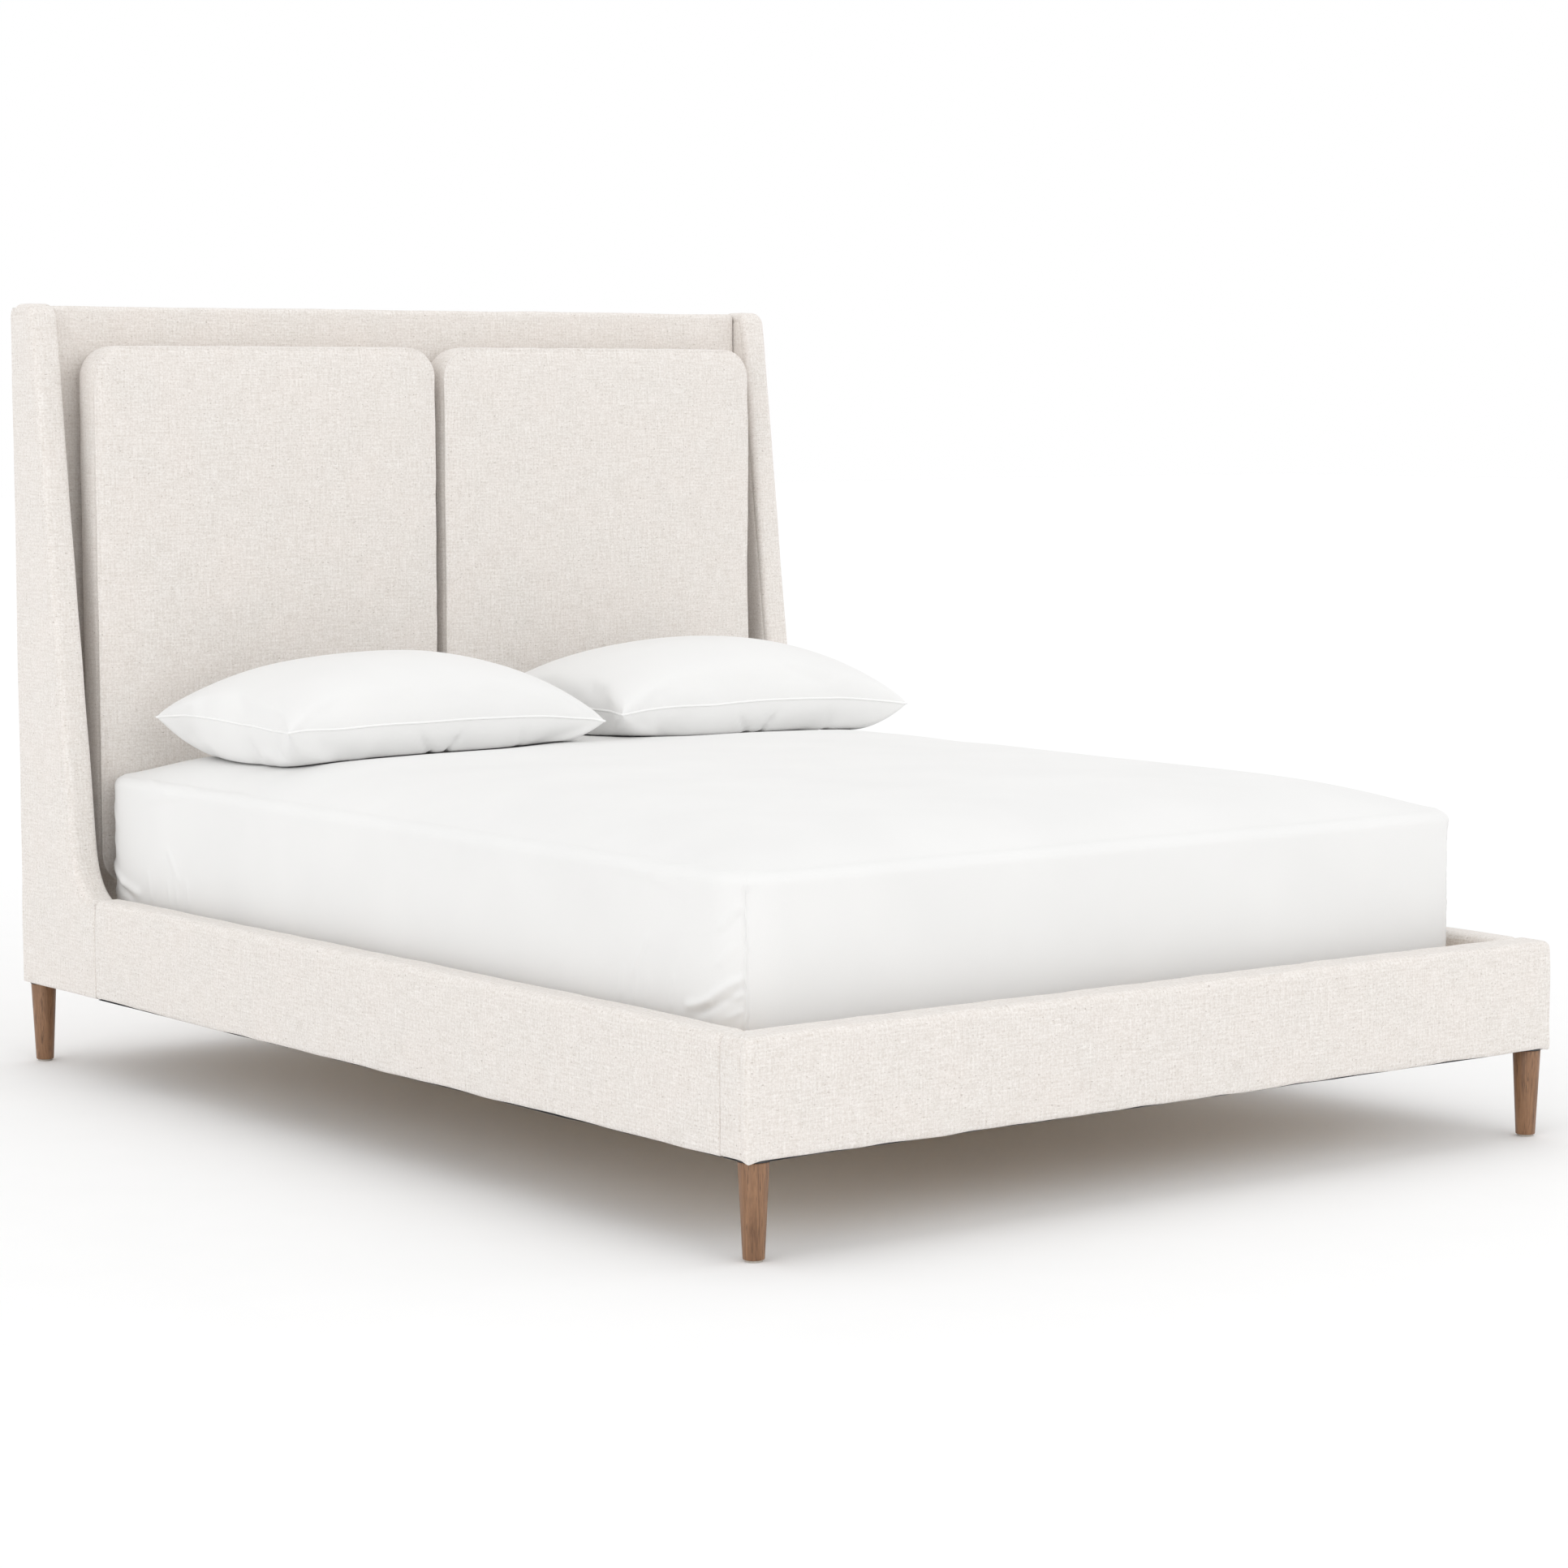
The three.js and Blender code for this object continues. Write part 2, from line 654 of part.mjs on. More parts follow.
// A round tapered leg with the plate that holds it up to the rail and the glide under it.
function leg(place, x, y) {
  const plateBottom = RAIL_BOTTOM - GAP - LEG_PLATE_THICKNESS;
  const bottom = GLIDE_THICKNESS + GAP;
  const top = plateBottom - GAP;
  const edge = 1.5;
  const turned = new THREE.LatheGeometry(
    [
      new THREE.Vector2(0, bottom),
      new THREE.Vector2(LEG_FOOT_RADIUS - edge, bottom),
      new THREE.Vector2(LEG_FOOT_RADIUS, bottom + edge),
      new THREE.Vector2(LEG_TOP_RADIUS, top),
      new THREE.Vector2(0, top),
    ],
    32,
  ).rotateX(Math.PI / 2);
  const disc = (radius, thickness) =>
    new THREE.CylinderGeometry(radius, radius, thickness, 24).rotateX(Math.PI / 2);
  const plate = disc(LEG_TOP_RADIUS + 1.5, LEG_PLATE_THICKNESS);
  const glide = disc(LEG_FOOT_RADIUS - 3, GLIDE_THICKNESS);
  const group = new THREE.Group();
  group.position.set(x, y, 0);
  group.add(
    part(`leg_plate_${place}`, plate, blackSteel, 0, 0, plateBottom + LEG_PLATE_THICKNESS / 2),
    part(`leg_${place}`, turned, walnut),
    part(`leg_glide_${place}`, glide, glidePlastic, 0, 0, GLIDE_THICKNESS / 2),
  );
  return group;
}

// ---- Bedding ----

// The mattress profile from its bottom edge, up the wall and over the crown.
function mattressProfile() {
  const shoulder = roundedShoulder(MATTRESS_SHOULDER_RADIUS, MATTRESS_EDGE_TOP);
  const crowned = [50, 85, 130, 190, 280, 420].map((inset) => {
    const rise = 1 - Math.exp((MATTRESS_SHOULDER_RADIUS - inset) / MATTRESS_CROWN_REACH);
    return [inset, MATTRESS_EDGE_TOP + MATTRESS_CROWN * rise];
  });
  return [
    [24, MATTRESS_BOTTOM],
    [7, MATTRESS_BOTTOM + 7],
    [0, MATTRESS_BOTTOM + 24],
    ...shoulder,
    ...crowned,
  ];
}

function mattress() {
  const block = softBlock(
    MATTRESS_WIDTH,
    MATTRESS_LENGTH,
    MATTRESS_CORNER_RADIUS,
    mattressProfile(),
    MATTRESS_BOTTOM,
    MATTRESS_TOP,
  );
  return part("mattress", block, ticking, 0, MATTRESS_MIDDLE, 0);
}

// A thin cover over the mattress, tucked a little way under it.
function fittedSheet() {
  const profile = [[SHEET_TUCK, MATTRESS_BOTTOM], ...mattressProfile()];
  const inner = offsetProfile(profile, GAP);
  const outer = offsetProfile(profile, GAP + SHEET_THICKNESS);
  const skin = softBlock(
    MATTRESS_WIDTH,
    MATTRESS_LENGTH,
    MATTRESS_CORNER_RADIUS,
    [...inner.reverse(), ...outer],
    MATTRESS_TOP + GAP,
    MATTRESS_TOP + GAP + SHEET_THICKNESS,
  );
  return part("fitted_sheet", skin, bedLinen, 0, MATTRESS_MIDDLE, 0);
}

// A knife-edged pillow on the crown of the mattress, with its seam nearer its underside.
function pillow(side, x) {
  const above = PILLOW_THICKNESS - PILLOW_SEAM_HEIGHT;
  const fullness = [[0, 0.03], [30, 0.35], [80, 0.64], [150, 0.85]];
  const lower = fullness.map(([inset, share]) => [inset, PILLOW_SEAM_HEIGHT * (1 - share)]);
  const upper = fullness.map(([inset, share]) => [inset, PILLOW_SEAM_HEIGHT + above * share]);
  const block = softBlock(
    PILLOW_WIDTH,
    PILLOW_DEPTH,
    30,
    [...lower.reverse(), ...upper],
    0,
    PILLOW_THICKNESS,
  );
  const sheetTop = MATTRESS_TOP + GAP + SHEET_THICKNESS;
  return part(`pillow_${side}`, block, bedLinen, x, PILLOW_CENTRE.y, sheetTop + GAP);
}

// ---- The whole bed ----

const bed = new THREE.Group();
bed.add(headboardPanel(), footRail(), slats(), centreSupport(), mattress(), fittedSheet());

for (const [side, sign] of [["left", -1], ["right", 1]]) {
  const half = new THREE.Group();
  half.scale.x = sign;
  half.add(wing(side), headboardCushion(side), sideRail(side), railBrackets(side));
  half.add(
    leg(`foot_${side}`, SIDE - LEG_SIDE_INSET, FOOT + LEG_END_INSET),
    leg(`head_${side}`, SIDE - LEG_SIDE_INSET, HEAD - LEG_END_INSET),
  );
  half.add(pillow(side, PILLOW_CENTRE.x));
  bed.add(half);
}

export default bed;
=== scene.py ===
"""The upholstered bed's looks: cloth covers, cushions, bedding, turned legs and their materials.

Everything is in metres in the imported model's frame: +Z up, +Y to the head, the floor at z = 0.
Left is -X, as seen from the foot.
"""

import math

import bpy
import numpy as np
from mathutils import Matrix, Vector
from mathutils.geometry import delaunay_2d_cdt


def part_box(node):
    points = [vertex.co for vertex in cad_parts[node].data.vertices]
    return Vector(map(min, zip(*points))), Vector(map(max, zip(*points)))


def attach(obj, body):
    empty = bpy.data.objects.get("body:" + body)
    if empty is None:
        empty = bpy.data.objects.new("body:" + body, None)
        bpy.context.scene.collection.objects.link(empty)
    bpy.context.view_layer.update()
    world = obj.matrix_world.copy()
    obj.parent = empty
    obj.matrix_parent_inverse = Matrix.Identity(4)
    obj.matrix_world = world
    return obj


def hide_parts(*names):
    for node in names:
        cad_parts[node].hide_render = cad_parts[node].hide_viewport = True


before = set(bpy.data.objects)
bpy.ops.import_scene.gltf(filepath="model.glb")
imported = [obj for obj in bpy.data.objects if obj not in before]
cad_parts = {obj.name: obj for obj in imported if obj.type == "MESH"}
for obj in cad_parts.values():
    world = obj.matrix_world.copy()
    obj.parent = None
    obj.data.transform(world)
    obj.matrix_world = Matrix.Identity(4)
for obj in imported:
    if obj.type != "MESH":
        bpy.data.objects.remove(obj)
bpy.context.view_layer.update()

# ---- Sizes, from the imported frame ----

SIDES = ("left", "right")
WING_LOW, WING_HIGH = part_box("wing_cover_right")
RAIL_LOW, RAIL_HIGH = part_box("side_rail_cover_right")
FOOT_LOW, FOOT_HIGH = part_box("foot_rail_cover")
PANEL_LOW, PANEL_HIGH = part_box("headboard_front_pad")
BACK_LOW, BACK_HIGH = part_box("headboard_back_cover")
CUSHION_LOW, CUSHION_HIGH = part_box("headboard_cushion_right")
MATTRESS_LOW, MATTRESS_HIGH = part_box("mattress")
PILLOW_LOW, PILLOW_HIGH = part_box("pillow_right")
BED_BACK = BACK_HIGH.y

WING_TOP_DEPTH = 0.088
WING_KNEE = (0.214, 0.433)
WING_TOE_TOP = 0.328
WING_SEAM_INSET = 0.019
WING_FACE_INSETS = (0.0155, 0.0172, 0.0182, WING_SEAM_INSET, 0.0198, 0.0212, 0.024, 0.032)
WING_OUTER_RADIUS = 0.015
WING_INNER_RADIUS = 0.012
WING_PLAIN_RADIUS = 0.004
WING_CORNER = 0.026
WING_CORNER_DROP = WING_CORNER - 0.006
WING_CROWN = (
    (WING_HIGH.y, WING_HIGH.z),
    (BED_BACK - WING_TOP_DEPTH, WING_HIGH.z),
    (BED_BACK - WING_KNEE[0], WING_KNEE[1]),
)

CUSHION_CORNER = 0.062
CUSHION_SWELL = 0.003
CUSHION_BACK_INSET = 0.045
CUSHION_BACK_ROUNDING = 0.060
CUSHION_SEAM_DROP = 0.005
CUSHION_BULGE = 0.003
MATTRESS_CORNER = 0.080
MATTRESS_SHOULDER = 0.020
MATTRESS_EDGE_TOP = 0.552
MATTRESS_CROWN_REACH = 0.090
SHEET_OFFSET = 0.0018
MATTRESS_EASE = 0.005
SHEET_TUCK = 0.075
PILLOW_SEAM_HEIGHT = 0.0520
PILLOW_SEAM_BOW = 0.011
PILLOW_WELT_RADIUS = 0.0023
PILLOW_CLEARANCE = 0.0015
PILLOW_SHARE = 0.972
PILLOW_SINK = 0.006
SEAM_WIDTH = 0.0022
LEG_TAPER = 0.702
EDGE_EASE = 0.0015
FLOOR_REACH = 40.0


# ---- Mesh helpers ----

def smooth_step(t):
    t = np.clip(t, 0.0, 1.0)
    return t * t * (3 - 2 * t)


def ripple(points, wavelength, seed):
    """A smooth field of about -1 to 1 over the points: plane waves in seeded directions."""
    waves = 9
    rng = np.random.default_rng(seed)
    total = np.zeros(len(points))
    for _ in range(waves):
        direction = rng.normal(size=3)
        direction /= np.linalg.norm(direction)
        length = wavelength * rng.uniform(0.7, 1.5)
        phase = rng.uniform(0, 2 * math.pi)
        total += np.sin(points @ direction * (2 * math.pi / length) + phase)
    return total / math.sqrt(waves * 2)


def lines(low, high, step, dense=()):
    """Grid positions from low to high: about step apart, closer by the ends and by dense."""
    reach = 0.016
    found = list(np.linspace(low, high, max(2, round((high - low) / step) + 1)))
    for centre in dense:
        found += [centre + d for d in (-0.006, -0.003, -0.0015, 0.0, 0.0015, 0.003, 0.006)]
    for share in (0.08, 0.25, 0.5, 0.75, 1.0):
        found += [low + reach * share, high - reach * share]
    kept = []
    for value in sorted(v for v in found if low <= v <= high):
        if not kept or value - kept[-1] > 0.0009:
            kept.append(value)
    kept[-1] = high
    return np.array(kept)


def box_skin(xs, ys, zs):
    """Points and outward quads of the skin of a box on the given grid lines."""
    index, points, faces = {}, [], []

    def at(i, j, k):
        if (i, j, k) not in index:
            index[i, j, k] = len(points)
            points.append((xs[i], ys[j], zs[k]))
        return index[i, j, k]

    nx, ny, nz = len(xs) - 1, len(ys) - 1, len(zs) - 1
    for i in range(nx):
        for j in range(ny):
            faces.append([at(i, j, 0), at(i, j + 1, 0), at(i + 1, j + 1, 0), at(i + 1, j, 0)])
            faces.append([at(i, j, nz), at(i + 1, j, nz), at(i + 1, j + 1, nz), at(i, j + 1, nz)])
    for i in range(nx):
        for k in range(nz):
            faces.append([at(i, 0, k), at(i + 1, 0, k), at(i + 1, 0, k + 1), at(i, 0, k + 1)])
            faces.append([at(i, ny, k), at(i, ny, k + 1), at(i + 1, ny, k + 1), at(i + 1, ny, k)])
    for j in range(ny):
        for k in range(nz):
            faces.append([at(0, j, k), at(0, j, k + 1), at(0, j + 1, k + 1), at(0, j + 1, k)])
            faces.append([at(nx, j, k), at(nx, j + 1, k), at(nx, j + 1, k + 1), at(nx, j, k + 1)])
    return np.array(points), faces


def round_box(points, low, high, top, bottom, upright):
    """Moves a box skin's points in so that its edges are round, with a radius for each kind of edge.
    upright holds two radii, for the vertical edges at low y and at high y."""
    low, high = np.array(low), np.array(high)
    height = (points[:, 2] - low[2]) / (high[2] - low[2])
    along = (points[:, 1] - low[1]) / (high[1] - low[1])
    middle = upright[0] + (upright[1] - upright[0]) * smooth_step(along)
    near_top, near_bottom = smooth_step(height * 4 - 3), smooth_step(1 - height * 4)
    level = middle + (top - middle) * near_top + (bottom - middle) * near_bottom
    upper = height > 0.5
    radius = np.stack([level, level, np.where(upper, top, bottom)], axis=1)
    core = np.clip(points, low + radius, high - radius)
    away = (points - core) / radius
    size = np.linalg.norm(away, axis=1, keepdims=True)
    away = np.where(size > 1e-9, away / np.maximum(size, 1e-9), 0.0)
    return core + away * radius


def ring_faces(rings, size, turned_over=False, closed=False):
    """Quads between rings of size points each, with the last joined to the first if closed."""
    faces = []
    for row in range(rings if closed else rings - 1):
        a, b = row * size, (row + 1) % rings * size
        for i in range(size):
            j = (i + 1) % size
            face = [a + i, b + i, b + j, a + j] if turned_over else [a + i, a + j, b + j, b + i]
            faces.append(face)
    return faces


def cap_faces(triangles, first, size, start, flip):
    """A filled ring's triangles, where the ring begins at point first and the fill at start."""
    faces = [[first + v if v < size else start + v - size for v in face] for face in triangles]
    return [face[::-1] for face in faces] if flip else faces


def read(items, attribute, width=1, kind=float):
    """One attribute of each of a mesh's items, as rows of a width."""
    values = np.zeros(len(items) * width, dtype=kind)
    items.foreach_get(attribute, values)
    return values.reshape(-1, width) if width > 1 else values


def point_normals(points, faces):
    mesh = bpy.data.meshes.new("scratch")
    mesh.from_pydata(points.tolist(), [], faces)
    normals = read(mesh.vertices, "normal", 3)
    bpy.data.meshes.remove(mesh)
    return normals


def groove(distance, depth, width=SEAM_WIDTH):
    """How far a seam at this distance pulls the cloth in."""
    return -depth * np.exp(-((distance / width) ** 2))


def cloth_uv(mesh):
    """Lays the cloth on in metres, each face from the side that it faces most."""
    layer = mesh.uv_layers.new(name="cloth")
    points = read(mesh.vertices, "co", 3)[read(mesh.loops, "vertex_index", kind=np.int32)]
    steepest = np.abs(read(mesh.polygons, "normal", 3)).argmax(axis=1)
    facing = np.repeat(steepest, read(mesh.polygons, "loop_total", kind=np.int32))
    across = np.where(facing == 0, points[:, 1], points[:, 0])
    up = np.where(facing == 2, points[:, 1], points[:, 2])
    layer.data.foreach_set("uv", np.stack([across, up], axis=1).ravel())


def piece(name, points, faces, material, mirrored=False):
    """A smooth-shaded mesh object. A mirrored one is turned over in X."""
    points = np.array(points, dtype=float)
    if mirrored:
        points = points * (-1, 1, 1)
        faces = [face[::-1] for face in faces]
    mesh = bpy.data.meshes.new(name)
    mesh.from_pydata(points.tolist(), [], [list(map(int, face)) for face in faces])
    mesh.shade_smooth()
    cloth_uv(mesh)
    mesh.materials.append(material)
    made = bpy.data.objects.new(name, mesh)
    bpy.context.scene.collection.objects.link(made)
    return made


def points_of(made):
    return read(made.data.vertices, "co", 3)


def faces_of(made):
    return [list(face.vertices) for face in made.data.polygons]


def apply_modifiers(made):
    """Gives the object the mesh that its modifiers make, and no modifiers."""
    graph = bpy.context.evaluated_depsgraph_get()
    mesh = bpy.data.meshes.new_from_object(made.evaluated_get(graph))
    made.modifiers.clear()
    made.data = mesh


def blow_up(made, pressure, frames, slack, cap):
    """Swells a closed cloth by simulation. No point moves further than cap, in metres.
    slack is how much longer the cloth is than its form, as a share, and makes it crease."""
    before = points_of(made)
    cloth = made.modifiers.new("blow_up", "CLOTH")
    settings = cloth.settings
    settings.quality = 6
    settings.mass = 0.3
    settings.use_pressure = True
    settings.uniform_pressure_force = pressure
    settings.tension_stiffness = settings.compression_stiffness = 15
    settings.shear_stiffness = 5
    settings.bending_stiffness = 0.5
    settings.shrink_min = -slack
    settings.air_damping = 3
    settings.effector_weights.gravity = 0
    cloth.point_cache.frame_end = frames
    for number in range(1, frames + 1):
        bpy.context.scene.frame_set(number)
    apply_modifiers(made)
    bpy.context.scene.frame_set(1)
    moved = points_of(made) - before
    length = np.maximum(np.linalg.norm(moved, axis=1, keepdims=True), 1e-9)
    made.data.vertices.foreach_set("co", (before + moved * (cap * np.tanh(length / cap) / length)).ravel())
    made.data.update()


def subdivided(made):
    """The object's points and faces after one round of subdivision. The object is removed."""
    made.modifiers.new("finer", "SUBSURF").render_levels = 1
    made.modifiers["finer"].levels = 1
    apply_modifiers(made)
    points, faces = points_of(made), faces_of(made)
    bpy.data.objects.remove(made)
    return points, faces


def upholstered(made, slot, fill, *nodes, body="bed_frame"):
    """A padded piece that stands for CAD nodes and rides on a body."""
    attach(made, body)
    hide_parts(*nodes)


# ---- Node graph helpers ----

class Surface:
    """A material with a Principled shader and short calls for adding nodes."""

    def __init__(self, name, roughness, **settings):
        self.material = bpy.data.materials.new(name)
        self.material.use_nodes = True
        self.nodes = self.material.node_tree.nodes
        self.links = self.material.node_tree.links
        self.shader = self.nodes["Principled BSDF"]
        self.shader.inputs["Roughness"].default_value = roughness
        for socket, value in settings.items():
            self.shader.inputs[socket.replace("_", " ")].default_value = value

    def add(self, kind, inputs, output=0, **settings):
        """Adds a node, sets or links its inputs, and returns one of its outputs."""
        made = self.nodes.new("ShaderNode" + kind)
        for key, value in settings.items():
            setattr(made, key, value)
        for key, value in inputs.items():
            self.feed(made.inputs[key], value)
        return made.outputs[output]

    def feed(self, socket, value):
        if isinstance(value, bpy.types.NodeSocket):
            self.links.new(value, socket)
        else:
            socket.default_value = value

    def math(self, operation, first, second=0.0, third=0.0):
        return self.add("Math", {0: first, 1: second, 2: third}, operation=operation)

    def place(self):
        """The object's own coordinates, in metres."""
        return self.add("TexCoord", {}, output="Object")

    def stretched(self, vector, scale):
        return self.add("Mapping", {"Vector": vector, "Scale": scale})

    def noise(self, vector, scale, detail=2.0, rough=0.5):
        inputs = {"Vector": vector, "Scale": scale, "Detail": detail, "Roughness": rough}
        return self.add("TexNoise", inputs)

    def blend(self, factor, first, second, mode="MIX"):
        inputs = {0: factor, 6: first, 7: second}
        return self.add("Mix", inputs, output=2, data_type="RGBA", blend_type=mode)

    def ramp(self, value, low, high):
        """The value's place between low and high, from 0 to 1."""
        inputs = {"Value": value, "From Min": low, "From Max": high}
        return self.add("MapRange", inputs, clamp=True)

    def finish(self, colour, height=None, depth=0.001, strength=1.0):
        """Links the colour, and any bump, whose height of 1 is depth metres."""
        self.links.new(colour, self.shader.inputs["Base Color"])
        if height is not None:
            inputs = {"Strength": strength, "Distance": depth, "Height": height}
            self.links.new(self.add("Bump", inputs), self.shader.inputs["Normal"])
        return self.material


def rgb(red, green, blue):
    return (red, green, blue, 1.0)


# ---- Materials ----

def linen_weave():
    """Cream linen blend: a plain weave of uneven yarns, with slubs both ways and dark flecks."""
    s = Surface("linen_weave", 0.92, Sheen_Weight=0.25, Sheen_Roughness=0.6, IOR=1.4)
    s.shader.inputs["Specular IOR Level"].default_value = 0.2
    cloth = s.add("TexCoord", {}, output="UV")
    upright = s.ramp(s.noise(s.stretched(cloth, (330, 22, 1)), 1.0, 3.0, 0.65), 0.34, 0.66)
    level = s.ramp(s.noise(s.stretched(cloth, (22, 330, 1)), 1.0, 3.0, 0.65), 0.34, 0.66)
    grain = s.noise(s.stretched(cloth, (230, 230, 1)), 1.0, 3.0, 0.75)
    patches = s.noise(s.stretched(cloth, (9, 9, 1)), 1.0, 3.0, 0.5)
    yarns = s.math("MULTIPLY", s.math("ADD", upright, level), 0.5)
    mixed = s.math("MULTIPLY_ADD", s.ramp(grain, 0.34, 0.66), 0.5, s.math("MULTIPLY", yarns, 0.5))
    pale, deep = rgb(0.936, 0.908, 0.880), rgb(0.600, 0.549, 0.498)
    ground = s.blend(mixed, deep, pale)
    warmth = s.ramp(patches, 0.35, 0.7)
    ground = s.blend(warmth, ground, s.blend(0.10, ground, rgb(0.90, 0.78, 0.72)))
    fleck = s.noise(s.stretched(cloth, (150, 260, 1)), 1.0, 1.0, 0.5)
    flecks = s.math("MULTIPLY", s.ramp(fleck, 0.68, 0.76), 0.55)
    colour = s.blend(flecks, ground, rgb(0.36, 0.31, 0.27))
    pitch = 2 * math.pi / 0.0026
    axes = [s.add("SeparateXYZ", {0: cloth}, output=axis) for axis in ("X", "Y")]
    over = [s.math("SINE", s.math("MULTIPLY", axis, pitch)) for axis in axes]
    weave = s.math("MULTIPLY", over[0], over[1])
    height = s.math("MULTIPLY_ADD", weave, 0.35, s.math("MULTIPLY", yarns, 0.6))
    height = s.math("ADD", height, s.math("MULTIPLY", grain, 0.6))
    return s.finish(colour, height, 0.0008, 0.6)


def percale(name, pale, deep):
    """Plain white cotton: a very fine even weave with a faint unevenness."""
    s = Surface(name, 0.85, Sheen_Weight=0.15, Sheen_Roughness=0.5)
    s.shader.inputs["Specular IOR Level"].default_value = 0.25
    place = s.place()
    yarn = s.noise(place, 900.0, 2.0, 0.6)
    soft = s.noise(place, 5.0, 2.0, 0.5)
    tone = s.math("MULTIPLY_ADD", yarn, 0.4, s.math("MULTIPLY", soft, 0.6))
    colour = s.blend(s.ramp(tone, 0.3, 0.7), deep, pale)
    return s.finish(colour, s.math("ADD", yarn, s.math("MULTIPLY", soft, 2.0)), 0.0004, 0.35)


def ticking():
    """Quilted mattress cloth: stitched diamonds on a soft white knit, with painted shade in the stitched
    hollows.
    """
    s = Surface("mattress_ticking", 0.9, Sheen_Weight=0.2)
    place = s.place()
    axis = [s.add("SeparateXYZ", {0: place}, output=k) for k in ("X", "Y", "Z")]
    along = s.math("ADD", axis[0], axis[2])
    first = s.math("SINE", s.math("MULTIPLY", s.math("ADD", along, axis[1]), math.pi / 0.06))
    second = s.math("SINE", s.math("MULTIPLY", s.math("SUBTRACT", along, axis[1]), math.pi / 0.06))
    puff = s.math("POWER", s.math("ABSOLUTE", s.math("MULTIPLY", first, second)), 0.35)
    knit = s.noise(place, 700.0, 2.0)
    # Painted shade: the knit's colour darkens towards the stitched hollows, following the puff.
    colour = s.blend(puff, rgb(0.70, 0.69, 0.66), rgb(0.86, 0.855, 0.835))
    return s.finish(colour, s.math("MULTIPLY_ADD", knit, 0.08, puff), 0.004, 0.7)


def along_grain(axis, share):
    """A texture scale that stretches it along one axis."""
    return tuple(share if each == axis else 1 for each in "xyz")


def wood(name, grain, pale, deep, roughness, rings=26.0, pores=0.0):
    """Timber with its grain along one axis: year rings, fine fibres, and pores if any."""
    s = Surface(name, roughness)
    place = s.place()
    along = s.stretched(place, along_grain(grain, 0.045))
    fine = s.stretched(place, along_grain(grain, 0.012))
    bend = s.noise(along, 7.0, 3.0)
    shift = s.add("VectorMath", {0: along, 1: bend}, operation="ADD")
    figure = s.noise(shift, rings, 4.0, 0.55)
    fibre = s.noise(fine, 900.0, 3.0, 0.6)
    tone = s.math("MULTIPLY_ADD", fibre, 0.45, s.math("MULTIPLY", figure, 0.55))
    colour = s.blend(s.ramp(tone, 0.33, 0.67), deep, pale)
    height = fibre
    if pores:
        pore = s.ramp(s.noise(fine, 520.0, 2.0, 0.7), 0.60, 0.68)
        dark = rgb(*(0.28 * c for c in deep[:3]))
        colour = s.blend(s.math("MULTIPLY", pore, pores), colour, dark)
        height = s.math("SUBTRACT", fibre, pore)
    return s.finish(colour, height, 0.0003, 0.5)


def plywood():
    """Plywood: rotary-cut face grain, and thin plies that show on the edges."""
    s = Surface("plywood", 0.7)
    place = s.place()
    figure = s.noise(s.stretched(place, (1.2, 1.2, 9.0)), 2.2, 5.0, 0.6)
    fibre = s.noise(s.stretched(place, (1, 1, 0.02)), 700.0, 2.0)
    depth = s.add("SeparateXYZ", {0: place}, output="Y")
    plies = s.math("SINE", s.math("MULTIPLY", depth, 2 * math.pi / 0.003))
    tone = s.math("MULTIPLY_ADD", figure, 0.6, s.math("MULTIPLY", fibre, 0.4))
    face = s.blend(s.ramp(tone, 0.35, 0.65), rgb(0.46, 0.31, 0.17), rgb(0.68, 0.50, 0.30))
    colour = s.blend(s.math("MULTIPLY", s.ramp(plies, 0.2, 0.6), 0.25), face, rgb(0.30, 0.19, 0.10))
    return s.finish(colour, fibre, 0.0003, 0.4)


def powder_coat():
    """Black powder-coated steel: satin, with a fine orange-peel skin and duller patches."""
    s = Surface("black_powder_coat", 0.42)
    place = s.place()
    peel = s.noise(place, 900.0, 2.0)
    patch = s.noise(place, 40.0, 3.0)
    colour = s.blend(patch, rgb(0.018, 0.018, 0.02), rgb(0.04, 0.04, 0.042))
    s.links.new(s.add("MapRange", {"Value": patch, 3: 0.36, 4: 0.55}), s.shader.inputs["Roughness"])
    return s.finish(colour, peel, 0.0002, 0.5)


def glide_plastic():
    """The pale nylon glide under each foot, a little scuffed."""
    s = Surface("glide_plastic", 0.55)
    place = s.place()
    scuff = s.noise(place, 300.0, 4.0, 0.7)
    colour = s.blend(s.ramp(scuff, 0.35, 0.7), rgb(0.52, 0.49, 0.44), rgb(0.40, 0.37, 0.33))
    return s.finish(colour, scuff, 0.0002, 0.4)


def dark_lining():
    """Black non-woven lining, with its pattern of small welded dots."""
    s = Surface("dark_lining", 0.95)
    place = s.place()
    cells = s.add("TexVoronoi", {"Vector": place, "Scale": 420.0})
    dots = s.ramp(cells, 0.1, 0.5)
    colour = s.blend(dots, rgb(0.012, 0.013, 0.016), rgb(0.03, 0.031, 0.036))
    return s.finish(colour, dots, 0.0003, 0.5)


def studio_floor():
    """The studio's smooth white floor."""
    s = Surface("studio_floor", 0.75)
    s.shader.inputs["Specular IOR Level"].default_value = 0.15
    place = s.place()
    haze = s.noise(place, 6.0, 2.0)
    colour = s.blend(haze, rgb(0.925, 0.925, 0.925), rgb(0.945, 0.945, 0.945))
    return s.finish(colour)


